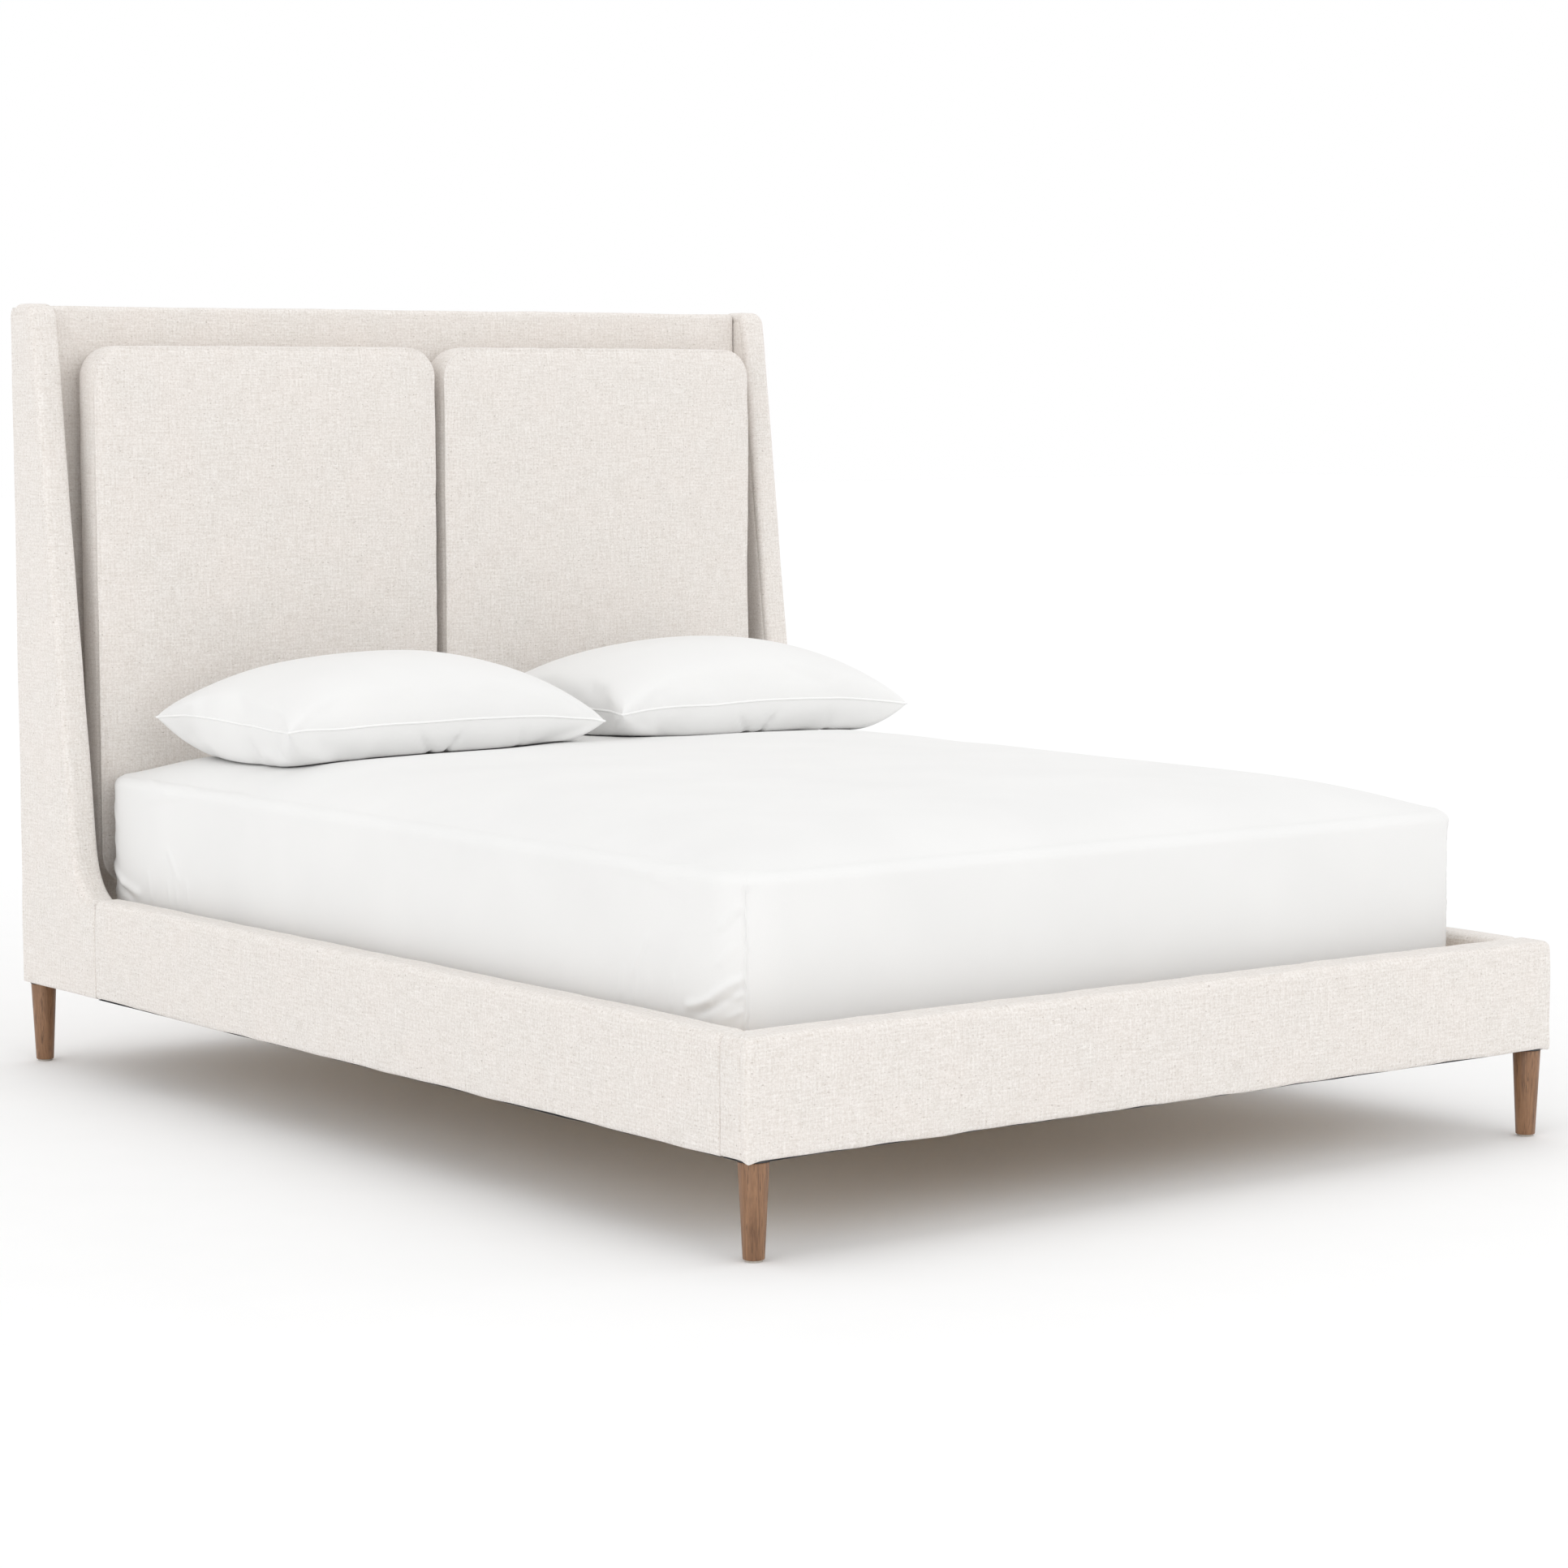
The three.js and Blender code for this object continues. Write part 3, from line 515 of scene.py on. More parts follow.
LINEN = linen_weave()
PERCALE = percale("white_percale", rgb(0.823, 0.821, 0.813), rgb(0.786, 0.784, 0.777))
# A brighter copy of the white percale for the pillows' welts: a painted highlight along the sewn edge.
WELT_HIGHLIGHT_PERCALE = percale("welt_painted_highlight", rgb(0.90, 0.90, 0.893), rgb(0.86, 0.86, 0.853))
TICKING = ticking()
LINING = dark_lining()
STEEL = powder_coat()
PLYWOOD = plywood()
GLIDE = glide_plastic()
LEG_COLOURS = (rgb(0.335, 0.178, 0.090), rgb(0.140, 0.066, 0.031))
LEG_WOOD = wood("brown_leg_wood", "z", *LEG_COLOURS, 0.42, rings=60.0, pores=0.75)
PINE_COLOURS = (rgb(0.76, 0.56, 0.34), rgb(0.56, 0.37, 0.19))
PINE = {axis: wood("pine_" + axis, axis, *PINE_COLOURS, 0.62) for axis in "xyz"}


# ---- Rails and headboard panel ----

def padded_block(low, high, radii, seed, step=0.012, puff=0.0015, seams=()):
    """A covered block: round edges, slightly full faces, an uneven stapled hem and sewn seams.
    radii holds the top, the bottom and the two upright radii; a seam is (axis, place, face axis, sign)."""
    top, bottom, upright = radii
    grids = [
        lines(low[axis], high[axis], step, [place for along, place, _, _ in seams if along == axis])
        for axis in range(3)
    ]
    flat, faces = box_skin(*grids)
    points = round_box(flat, low, high, top, bottom, upright)
    normals = point_normals(points, faces)
    centre, half = (np.array(low) + np.array(high)) / 2, (np.array(high) - np.array(low)) / 2
    share = np.abs((points - centre) / half)
    inner = np.sort(1 - share ** 6, axis=1)
    fullness = puff * np.clip(inner[:, 1], 0, 1)
    push = fullness + 0.0006 * ripple(points, 0.11, seed) + 0.0005 * ripple(points, 0.3, seed + 1)
    for axis, place, face, sign in seams:
        facing = smooth_step(normals[:, face] * sign * 2 - 0.4)
        push += facing * groove(points[:, axis] - place, 0.0016)
    points = points + normals * push[:, None]
    hem = smooth_step(1 - (points[:, 2] - low[2]) / 0.035)
    points[:, 2] += hem * 0.0011 * ripple(points, 0.16, seed + 2)
    return points, faces


def side_rails():
    for side in SIDES:
        seed = 11 if side == "left" else 21
        radii = (0.013, 0.005, (0.0025, 0.006))
        points, faces = padded_block(RAIL_LOW, RAIL_HIGH, radii, seed)
        made = piece(f"side_rail_cloth_{side}", points, faces, LINEN, mirrored=side == "left")
        upholstered(made, "upholstery", 0.9, f"side_rail_cover_{side}")


def foot_rail():
    seam = FOOT_LOW.y + 0.017
    seams = [(1, seam, 0, -1), (1, seam, 0, 1)]
    radii = (0.013, 0.005, (0.009, 0.007))
    points, faces = padded_block(FOOT_LOW, FOOT_HIGH, radii, 31, seams=seams)
    from_corner = (np.abs(points[:, 0]) - FOOT_HIGH.x) ** 2 + (points[:, 1] - FOOT_LOW.y) ** 2
    corner = np.exp(-from_corner / 0.016 ** 2)
    low = smooth_step(1 - (points[:, 2] - FOOT_LOW.z) / 0.012)
    points[:, 2] -= corner * low * 0.005
    made = piece("foot_rail_cloth", points, faces, LINEN)
    upholstered(made, "upholstery", 0.9, "foot_rail_cover")


def headboard_panel():
    radii = (0.009, 0.004, (0.002, 0.002))
    high = (PANEL_HIGH.x, BACK_LOW.y - 0.0003, PANEL_HIGH.z)
    points, faces = padded_block(PANEL_LOW, high, radii, 41, step=0.018, puff=0.0006)
    made = piece("headboard_panel_cloth", points, faces, LINEN)
    upholstered(made, "upholstery", 0.9, "headboard_front_pad")


def back_cloth():
    """The flat cloth on the back, stapled round its edge, with its top corners kept below the wings'."""
    thickness = BACK_HIGH.y - BACK_LOW.y
    staples = 0.012
    low_z, high_z = BACK_LOW.z - 0.0035, BACK_HIGH.z + 0.002
    xs = lines(BACK_LOW.x, BACK_HIGH.x, 0.02, (BACK_LOW.x + staples, BACK_HIGH.x - staples))
    zs = lines(low_z, high_z, 0.02, (low_z + staples, high_z - staples))
    flat, faces = box_skin(xs, np.array([BACK_LOW.y, BACK_HIGH.y - 0.0008]), zs)
    edge = np.minimum.reduce([
        flat[:, 0] - BACK_LOW.x, BACK_HIGH.x - flat[:, 0],
        flat[:, 2] - low_z, high_z - flat[:, 2],
    ])
    outer = flat[:, 1] > BACK_LOW.y + thickness / 4
    dip = groove(edge - staples, 0.0009) - 0.0012 * smooth_step(1 - edge / 0.004)
    flat[:, 1] += outer * (dip + 0.0005 * ripple(flat, 0.35, 51))
    by_wing = smooth_step((np.abs(flat[:, 0]) - WING_LOW.x - 0.004) / 0.012)
    near_top = smooth_step((flat[:, 2] - high_z + 0.06) / 0.06)
    flat[:, 2] -= by_wing * near_top * WING_CORNER_DROP
    made = piece("headboard_back_cloth", flat, faces, LINEN)
    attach(made, "bed_frame")
    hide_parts("headboard_back_cover")


# ---- Wings ----

def bezier(a, b, c, d, steps):
    t = np.linspace(0, 1, steps + 1)[:, None]
    a, b, c, d = (np.array(p) for p in (a, b, c, d))
    return a * (1 - t) ** 3 + 3 * b * t * (1 - t) ** 2 + 3 * c * t * t * (1 - t) + d * t ** 3


def straight(a, b, step):
    count = max(1, round(math.dist(a, b) / step))
    return np.linspace(a, b, count + 1)


def toward(start, end, distance):
    """The point at a distance from start on the way to end."""
    share = distance / math.dist(start, end)
    return tuple(a + (b - a) * share for a, b in zip(start, end))


def rounded_off(points, corner, first, second, radius):
    """Moves (y, z) points by a corner so that it is round. first and second are places on its edges."""
    edges = np.array([toward((0, 0), np.subtract(place, corner), 1.0) for place in (first, second)])
    along = (points - corner) @ np.linalg.inv(edges)
    left = radius - along
    near = (left > 1e-6).all(axis=1)
    scale = left[near].max(axis=1) / np.linalg.norm(left[near], axis=1)
    moved = points.copy()
    moved[near] = corner + (radius - left[near] * scale[:, None]) @ edges
    return moved


def wing_outline():
    """The wing's side view as (y, z) points, counter-clockwise from the back's lower corner."""
    step, fine_step = 0.012, 0.003
    knee_depth, knee_height = WING_KNEE
    back, bottom = WING_HIGH.y, WING_LOW.z
    heel, brow, knee = WING_CROWN
    toe = (WING_LOW.y, WING_TOE_TOP)
    sweep = bezier(
        knee,
        (BED_BACK - knee_depth - 0.008, knee_height - 0.058),
        (BED_BACK - knee_depth - 0.031, WING_TOE_TOP + 0.007),
        toe,
        24,
    )
    ankle, sole = (back, bottom), (toe[0], bottom)
    crown_stops = [
        (ankle, step * 2),
        (toward(heel, ankle, WING_CORNER), fine_step),
        (heel, fine_step),
        (toward(heel, brow, WING_CORNER), step),
        (toward(brow, heel, WING_CORNER), fine_step),
        (brow, fine_step),
        (toward(brow, knee, WING_CORNER), step),
        (knee, step),
    ]
    runs = [straight(a, b, space) for (a, space), (b, _) in zip(crown_stops, crown_stops[1:])]
    runs += [sweep, straight(toe, sole, step), straight(sole, ankle, step * 2)]
    return np.concatenate([run[:-1] for run in runs])


def inward(outline):
    """For each outline point, the way into the shape for an offset of one metre.
    It is mitred at a corner, and eases off to the plain normal within reach of it."""
    reach = 0.04
    before = outline - np.roll(outline, 1, axis=0)
    after = np.roll(outline, -1, axis=0) - outline
    before /= np.linalg.norm(before, axis=1, keepdims=True)
    after /= np.linalg.norm(after, axis=1, keepdims=True)
    first = np.column_stack([before[:, 1], -before[:, 0]])
    second = np.column_stack([after[:, 1], -after[:, 0]])
    if not clear_inside(outline, *(outline[0] + (first[0] + second[0]) * 0.001), 0.0):
        first, second = -first, -second
    middle = first + second
    into = middle / np.sum(middle * first, axis=1, keepdims=True)
    corners = np.flatnonzero(np.sum(before * after, axis=1) < 0.9)
    count = len(outline)
    for corner in corners:
        lean = np.dot(into[corner], after[corner])
        ways = ((1, after[corner], second[corner]), (-1, -before[corner], first[corner]))
        for way, tangent, normal in ways:
            step = 1
            while math.dist(outline[(corner + way * step) % count], outline[corner]) < reach:
                at = (corner + way * step) % count
                gone = math.dist(outline[at], outline[corner])
                into[at] = normal + tangent * abs(lean) * (1 - gone / reach)
                step += 1
    return into


def wing_rings(outline, top_edge):
    """Rings of points round a wing's rim, from its outer face over the edge to its inner one."""
    into = inward(outline)
    turns = [share * math.pi / 2 for share in (0.0, 0.2, 0.4, 0.6, 0.8, 1.0)]
    half = (WING_HIGH.x + WING_LOW.x) / 2

    def flat(inset, x):
        return np.column_stack([np.full(len(outline), x), outline + into * inset])

    def turning(angle, radius, face_x, way):
        radius = np.where(top_edge, radius, WING_PLAIN_RADIUS)
        inset = radius[:, None] * (1 - math.cos(angle))
        return np.column_stack([face_x + way * radius * (1 - math.sin(angle)), outline + into * inset])

    rings = [flat(inset, WING_HIGH.x) for inset in reversed(WING_FACE_INSETS)]
    rings += [turning(angle, WING_OUTER_RADIUS, WING_HIGH.x, -1) for angle in reversed(turns)]
    rings += [flat(0.0, half + 0.006), flat(0.0, half - 0.006)]
    rings += [turning(angle, WING_INNER_RADIUS, WING_LOW.x, 1) for angle in turns]
    rings += [flat(inset, WING_LOW.x) for inset in WING_FACE_INSETS]
    return rings


def wing_points():
    """A wing as rings round its rim and two filled faces. It also returns how far its seams push."""
    outline = wing_outline()
    front = (outline[:, 0] < WING_HIGH.y - 0.001) & (outline[:, 1] > WING_LOW.z + 0.001)
    top_edge = front & (outline[:, 0] > WING_LOW.y + 0.001)
    rings = wing_rings(outline, top_edge)
    size = len(outline)
    seams = np.zeros((len(rings), size))
    for row, inset in enumerate(reversed(WING_FACE_INSETS)):
        seams[row] = groove(np.full(size, inset - WING_SEAM_INSET), 0.0016) * top_edge
        seams[-1 - row] = seams[row]
    points = np.concatenate(rings)
    faces = ring_faces(len(rings), size, turned_over=True)
    fill, triangles = filled(rings[0][:, 1:], 0.022)
    fresh = fill[size:]
    for x, row in ((WING_HIGH.x, 0), (WING_LOW.x, len(rings) - 1)):
        faces += cap_faces(triangles, row * size, size, len(points), row > 0)
        points = np.concatenate([points, np.column_stack([np.full(len(fresh), x), fresh])])
    heel, brow, knee = WING_CROWN
    under_heel = (heel[0], WING_LOW.z)
    points[:, 1:] = rounded_off(points[:, 1:], heel, under_heel, brow, WING_CORNER)
    points[:, 1:] = rounded_off(points[:, 1:], brow, heel, knee, WING_CORNER)
    push = np.concatenate([seams.ravel(), np.zeros(2 * len(fresh))])
    return points, faces, push


def filled(outline, step):
    """Triangles that fill an outline, with inner points on a grid."""
    size = len(outline)
    low, high = outline.min(axis=0), outline.max(axis=0)
    ys = np.arange(low[0] + step / 2, high[0], step)
    zs = np.arange(low[1] + step / 2, high[1], step)
    grid = [Vector((y, z)) for y in ys for z in zs if clear_inside(outline, y, z, step * 0.5)]
    ring = [Vector(p) for p in outline]
    edges = [(i, (i + 1) % size) for i in range(size)]
    made = delaunay_2d_cdt(ring + grid, edges, [list(range(size))], 1, 1e-7)
    points = np.array([tuple(p) for p in made[0]])
    if len(points) != size + len(grid):
        raise RuntimeError("the outline's fill merged or split a point")
    faces = []
    for face in made[2]:
        a, b, c = (points[v] for v in face)
        turn = (b[0] - a[0]) * (c[1] - a[1]) - (b[1] - a[1]) * (c[0] - a[0])
        faces.append(list(face) if turn > 0 else list(face)[::-1])
    return points, faces


def clear_inside(outline, y, z, margin):
    """Whether a point is inside an outline and at least margin from its edge."""
    nearby = np.roll(outline, -1, axis=0)
    edge = nearby - outline
    t = np.clip(np.sum(((y, z) - outline) * edge, axis=1) / np.sum(edge * edge, axis=1), 0, 1)
    near = outline + edge * t[:, None]
    if np.min(np.hypot(near[:, 0] - y, near[:, 1] - z)) < margin:
        return False
    crosses = (outline[:, 1] > z) != (nearby[:, 1] > z)
    rise = np.where(np.abs(edge[:, 1]) < 1e-12, 1e-12, edge[:, 1])
    at = outline[:, 0] + (z - outline[:, 1]) * edge[:, 0] / rise
    return bool(np.sum(crosses & (at > y)) % 2)


def wings():
    base, faces, seams = wing_points()
    normals = point_normals(base, faces)
    for side in SIDES:
        seed = 61 if side == "left" else 71
        push = seams + 0.0006 * ripple(base, 0.13, seed) + 0.0006 * ripple(base, 0.4, seed + 1)
        inner = smooth_step(-normals[:, 0] * 3)
        push -= 0.0006 * inner
        points = base + normals * push[:, None]
        made = piece(f"wing_cloth_{side}", points, faces, LINEN, mirrored=side == "left")
        upholstered(made, "upholstery", 0.9, f"wing_cover_{side}")


# ---- Rings of a rounded rectangle, for cushions and the mattress ----

def corner_turns(count, corner, dense):
    """Shares of a quarter turn for a corner's points, closer together by a seam in its middle."""
    turns = np.arange(count) / count
    if not dense:
        return turns
    near = np.array([-0.014, -0.010, -0.0065, -0.004, -0.002, 0.0, 0.002, 0.004, 0.0065, 0.010, 0.014])
    middle = 0.5 + near / (corner * math.pi / 2)
    kept = turns[np.abs(turns - 0.5) > middle[-1] - 0.5 + 0.02]
    return np.sort(np.concatenate([kept, middle]))


def side_shares(length, spacing, dense):
    """Shares along a straight side for its points, closer together by the ends of a dense one."""
    if not dense:
        steps = max(4, round(length / spacing))
        return np.arange(steps) / steps
    near = np.arange(0, 0.30, 0.0042)
    middle = np.linspace(0.30, length - 0.30, round((length - 0.60) / spacing) + 1)
    return np.concatenate([near, middle, length - near[:0:-1]]) / length


def rectangle_ring(half_x, half_y, corner, spacing, dense=False):
    """A rounded rectangle, counter-clockwise. A dense one has more points by the seams in its
    corners and by the ends of its long sides."""
    turns = corner_turns(max(6, round(corner * math.pi / 2 / spacing * 1.6)), corner, dense)
    along_x = side_shares(2 * (half_x - corner), spacing, False)
    along_y = side_shares(2 * (half_y - corner), spacing, dense)

    def ring(inset):
        r = max(corner - inset, corner * 0.2)
        x, y = half_x - inset - r, half_y - inset - r
        centres = [(x, y), (-x, y), (-x, -y), (x, -y)]
        found = []
        for quarter, (cx, cy) in enumerate(centres):
            for turn in turns:
                angle = (quarter + turn) * math.pi / 2
                found.append((cx + r * math.cos(angle), cy + r * math.sin(angle)))
            angle = (quarter + 1) * math.pi / 2
            start = np.array((cx + r * math.cos(angle), cy + r * math.sin(angle)))
            nx, ny = centres[(quarter + 1) % 4]
            end = np.array((nx + r * math.cos(angle), ny + r * math.sin(angle)))
            shares = along_x if quarter % 2 == 0 else along_y
            found += [tuple(start + (end - start) * share) for share in shares]
        return np.array(found)

    return ring


def ring_skin(ring, profile, step):
    """A skin through rings, where profile lists (inset, height), with both ends filled."""
    rows = [np.column_stack([ring(inset), np.full(len(ring(inset)), z)]) for inset, z in profile]
    size = len(rows[0])
    points = np.concatenate(rows)
    faces = ring_faces(len(rows), size)
    for row in (0, len(rows) - 1):
        fill, triangles = filled(rows[row][:, :2], step)
        faces += cap_faces(triangles, row * size, size, len(points), row == 0)
        fresh = fill[size:]
        level = np.full(len(fresh), profile[row][1])
        points = np.concatenate([points, np.column_stack([fresh, level])])
    return points, faces


def round_profile(radius, wall_top, steps=7):
    """(inset, height) round an edge that turns from a wall in to a top at wall_top."""
    found = []
    for i in range(steps + 1):
        angle = i / steps * math.pi / 2
        found.append((radius * (1 - math.cos(angle)), wall_top - radius * (1 - math.sin(angle))))
    return found


# ---- Headboard cushions ----

def cushion_form():
    """A cushion lying on its back: width in X, height in Y, thickness in Z from 0."""
    width = CUSHION_HIGH.x - CUSHION_LOW.x - CUSHION_SWELL
    height = CUSHION_HIGH.z - CUSHION_LOW.z - CUSHION_SWELL
    thickness = CUSHION_HIGH.y - CUSHION_LOW.y
    ring = rectangle_ring(width / 2, height / 2, CUSHION_CORNER, 0.014)
    back = [
        (CUSHION_BACK_INSET * (1 - math.sin(a)), CUSHION_BACK_ROUNDING * (1 - math.cos(a)))
        for a in np.linspace(0, math.pi / 2, 7)
    ]
    edge = thickness - CUSHION_SEAM_DROP
    rise = edge - CUSHION_BACK_ROUNDING
    wall = [
        (CUSHION_BULGE * share ** 4, CUSHION_BACK_ROUNDING + rise * share)
        for share in (0.3, 0.55, 0.75, 0.87, 0.95, 1.0)
    ]
    front = [
        (CUSHION_BULGE + d, thickness - CUSHION_SEAM_DROP * math.exp(-d / 0.011))
        for d in (0.0015, 0.004, 0.007, 0.012, 0.018, 0.026, 0.036, 0.048)
    ]
    points, faces = ring_skin(ring, back + wall + front, 0.018)
    centred = np.abs(points[:, :2]) / (width / 2, height / 2)
    crown = 0.001 * np.clip((1 - centred[:, 0] ** 2.4) * (1 - centred[:, 1] ** 2.4), 0, 1) ** 0.6
    points[:, 2] += crown * smooth_step(points[:, 2] / thickness * 2 - 1)
    return points, faces, edge


def seam_ridge(rest, edge):
    """How far the sewn edge round a cushion's front stands out, at each point of its form."""
    half = np.abs(rest[:, :2]).max(axis=0) - CUSHION_CORNER
    past = np.maximum(np.abs(rest[:, :2]) - half, 0.0)
    inset = CUSHION_CORNER - np.linalg.norm(past, axis=1)
    away = np.hypot(inset - CUSHION_BULGE, rest[:, 2] - edge)
    return 0.0014 * np.exp(-((away / 0.0022) ** 2)) - 0.0008 * np.exp(-(((away - 0.006) / 0.003) ** 2))


def headboard_cushions():
    form, faces, edge = cushion_form()
    normals = point_normals(form, faces)
    centre_x = (CUSHION_LOW.x + CUSHION_HIGH.x) / 2
    centre_z = (CUSHION_LOW.z + CUSHION_HIGH.z) / 2
    rest, fine = subdivided(piece("cushion_rest", form, faces, LINEN))
    ridge = seam_ridge(rest, edge)
    for side in SIDES:
        seed = 81 if side == "left" else 91
        push = 0.0012 * ripple(form, 0.30, seed) + 0.0006 * ripple(form, 0.09, seed + 1)
        slack = form + normals * (push * smooth_step(form[:, 2] / 0.02))[:, None]
        made = piece("cushion_form", slack, faces, LINEN)
        blow_up(made, pressure=4.0, frames=14, slack=0.01, cap=CUSHION_SWELL)
        shaped, fine = subdivided(made)
        uneven = 1 + 0.25 * ripple(shaped, 0.05, seed + 2)
        shaped += point_normals(shaped, fine) * (ridge * uneven)[:, None]
        back = CUSHION_HIGH.y - np.maximum(shaped[:, 2], 0.0)
        points = np.column_stack([shaped[:, 0] + centre_x, back, shaped[:, 1] + centre_z])
        made = piece(f"cushion_cloth_{side}", points, fine, LINEN, mirrored=side == "left")
        upholstered(made, "upholstery", 0.95, f"headboard_cushion_{side}")


# ---- Mattress and fitted sheet ----

def mattress_profile(offset, rows):
    """(inset, height) from under the mattress, up its side and over its shoulder."""
    low, top = MATTRESS_LOW.z - max(offset, 0.0), MATTRESS_EDGE_TOP
    under = [(d - offset, low) for d in (SHEET_TUCK, 0.055, 0.038, 0.026)]
    under += [(0.012 - offset, low + 0.004), (0.003 - offset, low + 0.014)]
    side = [(-offset, z) for z in np.linspace(low + 0.03, top - MATTRESS_SHOULDER - 0.006, rows)]
    shoulder = [(d - offset, z + offset) for d, z in round_profile(MATTRESS_SHOULDER, top, 9)]
    onto = [(MATTRESS_SHOULDER + d, top + offset) for d in np.linspace(0.008, 0.20, 18) ** 1.2]
    return under + side + shoulder + onto


def crown(points, half_x, half_y, height):
    """How much higher the top is than its edge at each point."""
    inside_x = np.maximum(half_x - np.abs(points[:, 0]) - MATTRESS_SHOULDER, 0)
    inside_y = np.maximum(half_y - np.abs(points[:, 1]) - MATTRESS_SHOULDER, 0)
    rise_x = 1 - np.exp(-inside_x / MATTRESS_CROWN_REACH)
    rise_y = 1 - np.exp(-inside_y / MATTRESS_CROWN_REACH)
    return height * rise_x * rise_y


def pillow_dents(points):
    """How far the pillows press the top of the mattress in at each point."""
    middle, half = (PILLOW_LOW + PILLOW_HIGH) / 2, (PILLOW_HIGH - PILLOW_LOW) / 2
    off_x = (np.abs(points[:, 0]) - middle.x) / half.x
    off_y = (points[:, 1] - middle.y) / half.y
    reach = (np.abs(off_x) ** 3 + np.abs(off_y) ** 3) ** (1 / 3)
    return (PILLOW_SINK + 0.001) * smooth_step((1.0 - reach) / 0.25)


def bedding_skin(offset, spacing, rows, dense=False):
    """The mattress's shape, offset outwards. It also returns the ring that the skin starts from."""
    half_x, half_y = (MATTRESS_HIGH.x - MATTRESS_LOW.x) / 2, (MATTRESS_HIGH.y - MATTRESS_LOW.y) / 2
    ring = rectangle_ring(half_x, half_y, MATTRESS_CORNER, spacing, dense)
    points, faces = ring_skin(ring, mattress_profile(offset, rows), 0.03)
    on_top = points[:, 2] > MATTRESS_EDGE_TOP + offset - 0.001
    rise = MATTRESS_HIGH.z - MATTRESS_EDGE_TOP
    points[:, 2] += on_top * crown(points, half_x, half_y, rise)
    points[:, 1] += (MATTRESS_LOW.y + MATTRESS_HIGH.y) / 2
    points[:, 2] -= on_top * pillow_dents(points)
    return points, faces, ring(0.0)


def sheet_surface(points):
    """The height of the top of the sheet under each point."""
    half_x, half_y = (MATTRESS_HIGH.x - MATTRESS_LOW.x) / 2, (MATTRESS_HIGH.y - MATTRESS_LOW.y) / 2
    centred = points - (0.0, (MATTRESS_LOW.y + MATTRESS_HIGH.y) / 2, 0.0)
    rise = crown(centred, half_x, half_y, MATTRESS_HIGH.z - MATTRESS_EDGE_TOP)
    return MATTRESS_EDGE_TOP + SHEET_OFFSET + rise - pillow_dents(points)


def mattress():
    points, faces, _ = bedding_skin(-MATTRESS_EASE, 0.03, 12)
    made = piece("mattress_body", points, faces, TICKING)
    upholstered(made, "mattress_ticking", 0.95, "mattress", body="bedding")


def fold(along, up, start, end, width, height):
    """A soft ridge in the cloth from start to end, which are places along it and up it."""
    run = (end[0] - start[0], end[1] - start[1])
    length = math.hypot(*run)
    share = ((along - start[0]) * run[0] + (up - start[1]) * run[1]) / length ** 2
    off = ((along - start[0]) * run[1] - (up - start[1]) * run[0]) / length
    ends = smooth_step(share * 4) * smooth_step((1 - share) * 4)
    return height * ends * np.exp(-((off / width) ** 2))


# Folds by a corner of the sheet: start, end, half width and height. Places are measured along the
# cloth from the corner's seam, less than 0 on the long side, and up it from the top of the rails.
CORNER_FOLDS = (
    ((-0.135, 0.004), (-0.050, 0.026), 0.008, 0.0045),
    ((-0.080, 0.016), (0.004, 0.066), 0.007, 0.0045),
    ((-0.110, -0.008), (-0.008, 0.034), 0.006, -0.0040),
    ((-0.050, 0.012), (0.002, 0.040), 0.004, 0.0022),
    ((-0.036, -0.004), (0.000, 0.014), 0.004, 0.0020),
    ((-0.055, 0.070), (-0.010, 0.115), 0.005, 0.0016),
    ((-0.050, 0.125), (-0.003, 0.178), 0.005, 0.0018),
    ((-0.040, 0.120), (0.000, 0.163), 0.004, -0.0014),
    ((-0.275, 0.030), (-0.215, 0.115), 0.007, 0.0016),
    ((-0.300, -0.010), (-0.288, 0.060), 0.006, 0.0013),
    ((-0.262, -0.010), (-0.250, 0.055), 0.005, 0.0013),
    ((-0.235, -0.010), (-0.222, 0.050), 0.005, 0.0013),
    ((-0.168, -0.010), (-0.152, 0.062), 0.006, 0.0015),
    ((-0.245, 0.195), (-0.095, 0.245), 0.006, 0.0018),
    ((-0.330, 0.215), (-0.210, 0.240), 0.006, 0.0012),
    ((-0.600, 0.250), (-0.085, 0.175), 0.008, 0.0011),
)


def corner_cloth(along, up):
    """The sewn ridge up a corner of the fitted sheet, its small ear and the folds by it."""
    ear = MATTRESS_EDGE_TOP - RAIL_HIGH.z - 0.014
    off = along - 0.0012 * np.sin(up * 70) - 0.0007 * np.sin(up * 190)
    push = 0.0028 * np.exp(-((off / 0.0020) ** 2)) - 0.0012 * np.exp(-(((off + 0.006) / 0.004) ** 2))
    push *= smooth_step((ear + 0.01 - up) / 0.02)
    push += 0.0035 * np.exp(-((off / 0.010) ** 2) - ((up - ear) / 0.012) ** 2)
    for start, end, width, height in CORNER_FOLDS:
        push += fold(along, up, start, end, width, height)
    return push


def corner_distances(ring):
    """For each corner of a ring, how far each point is along the ring from the corner's middle."""
    steps = np.linalg.norm(np.roll(ring, -1, axis=0) - ring, axis=1)
    place = np.concatenate([[0.0], np.cumsum(steps[:-1])])
    for quarter in range(4):
        angle = (quarter + 0.5) * math.pi / 2
        away = np.array([math.cos(angle), math.sin(angle)]) @ ring.T
        seam = place[int(np.argmax(away))]
        along = (place - seam + steps.sum() / 2) % steps.sum() - steps.sum() / 2
        yield -along if quarter % 2 else along


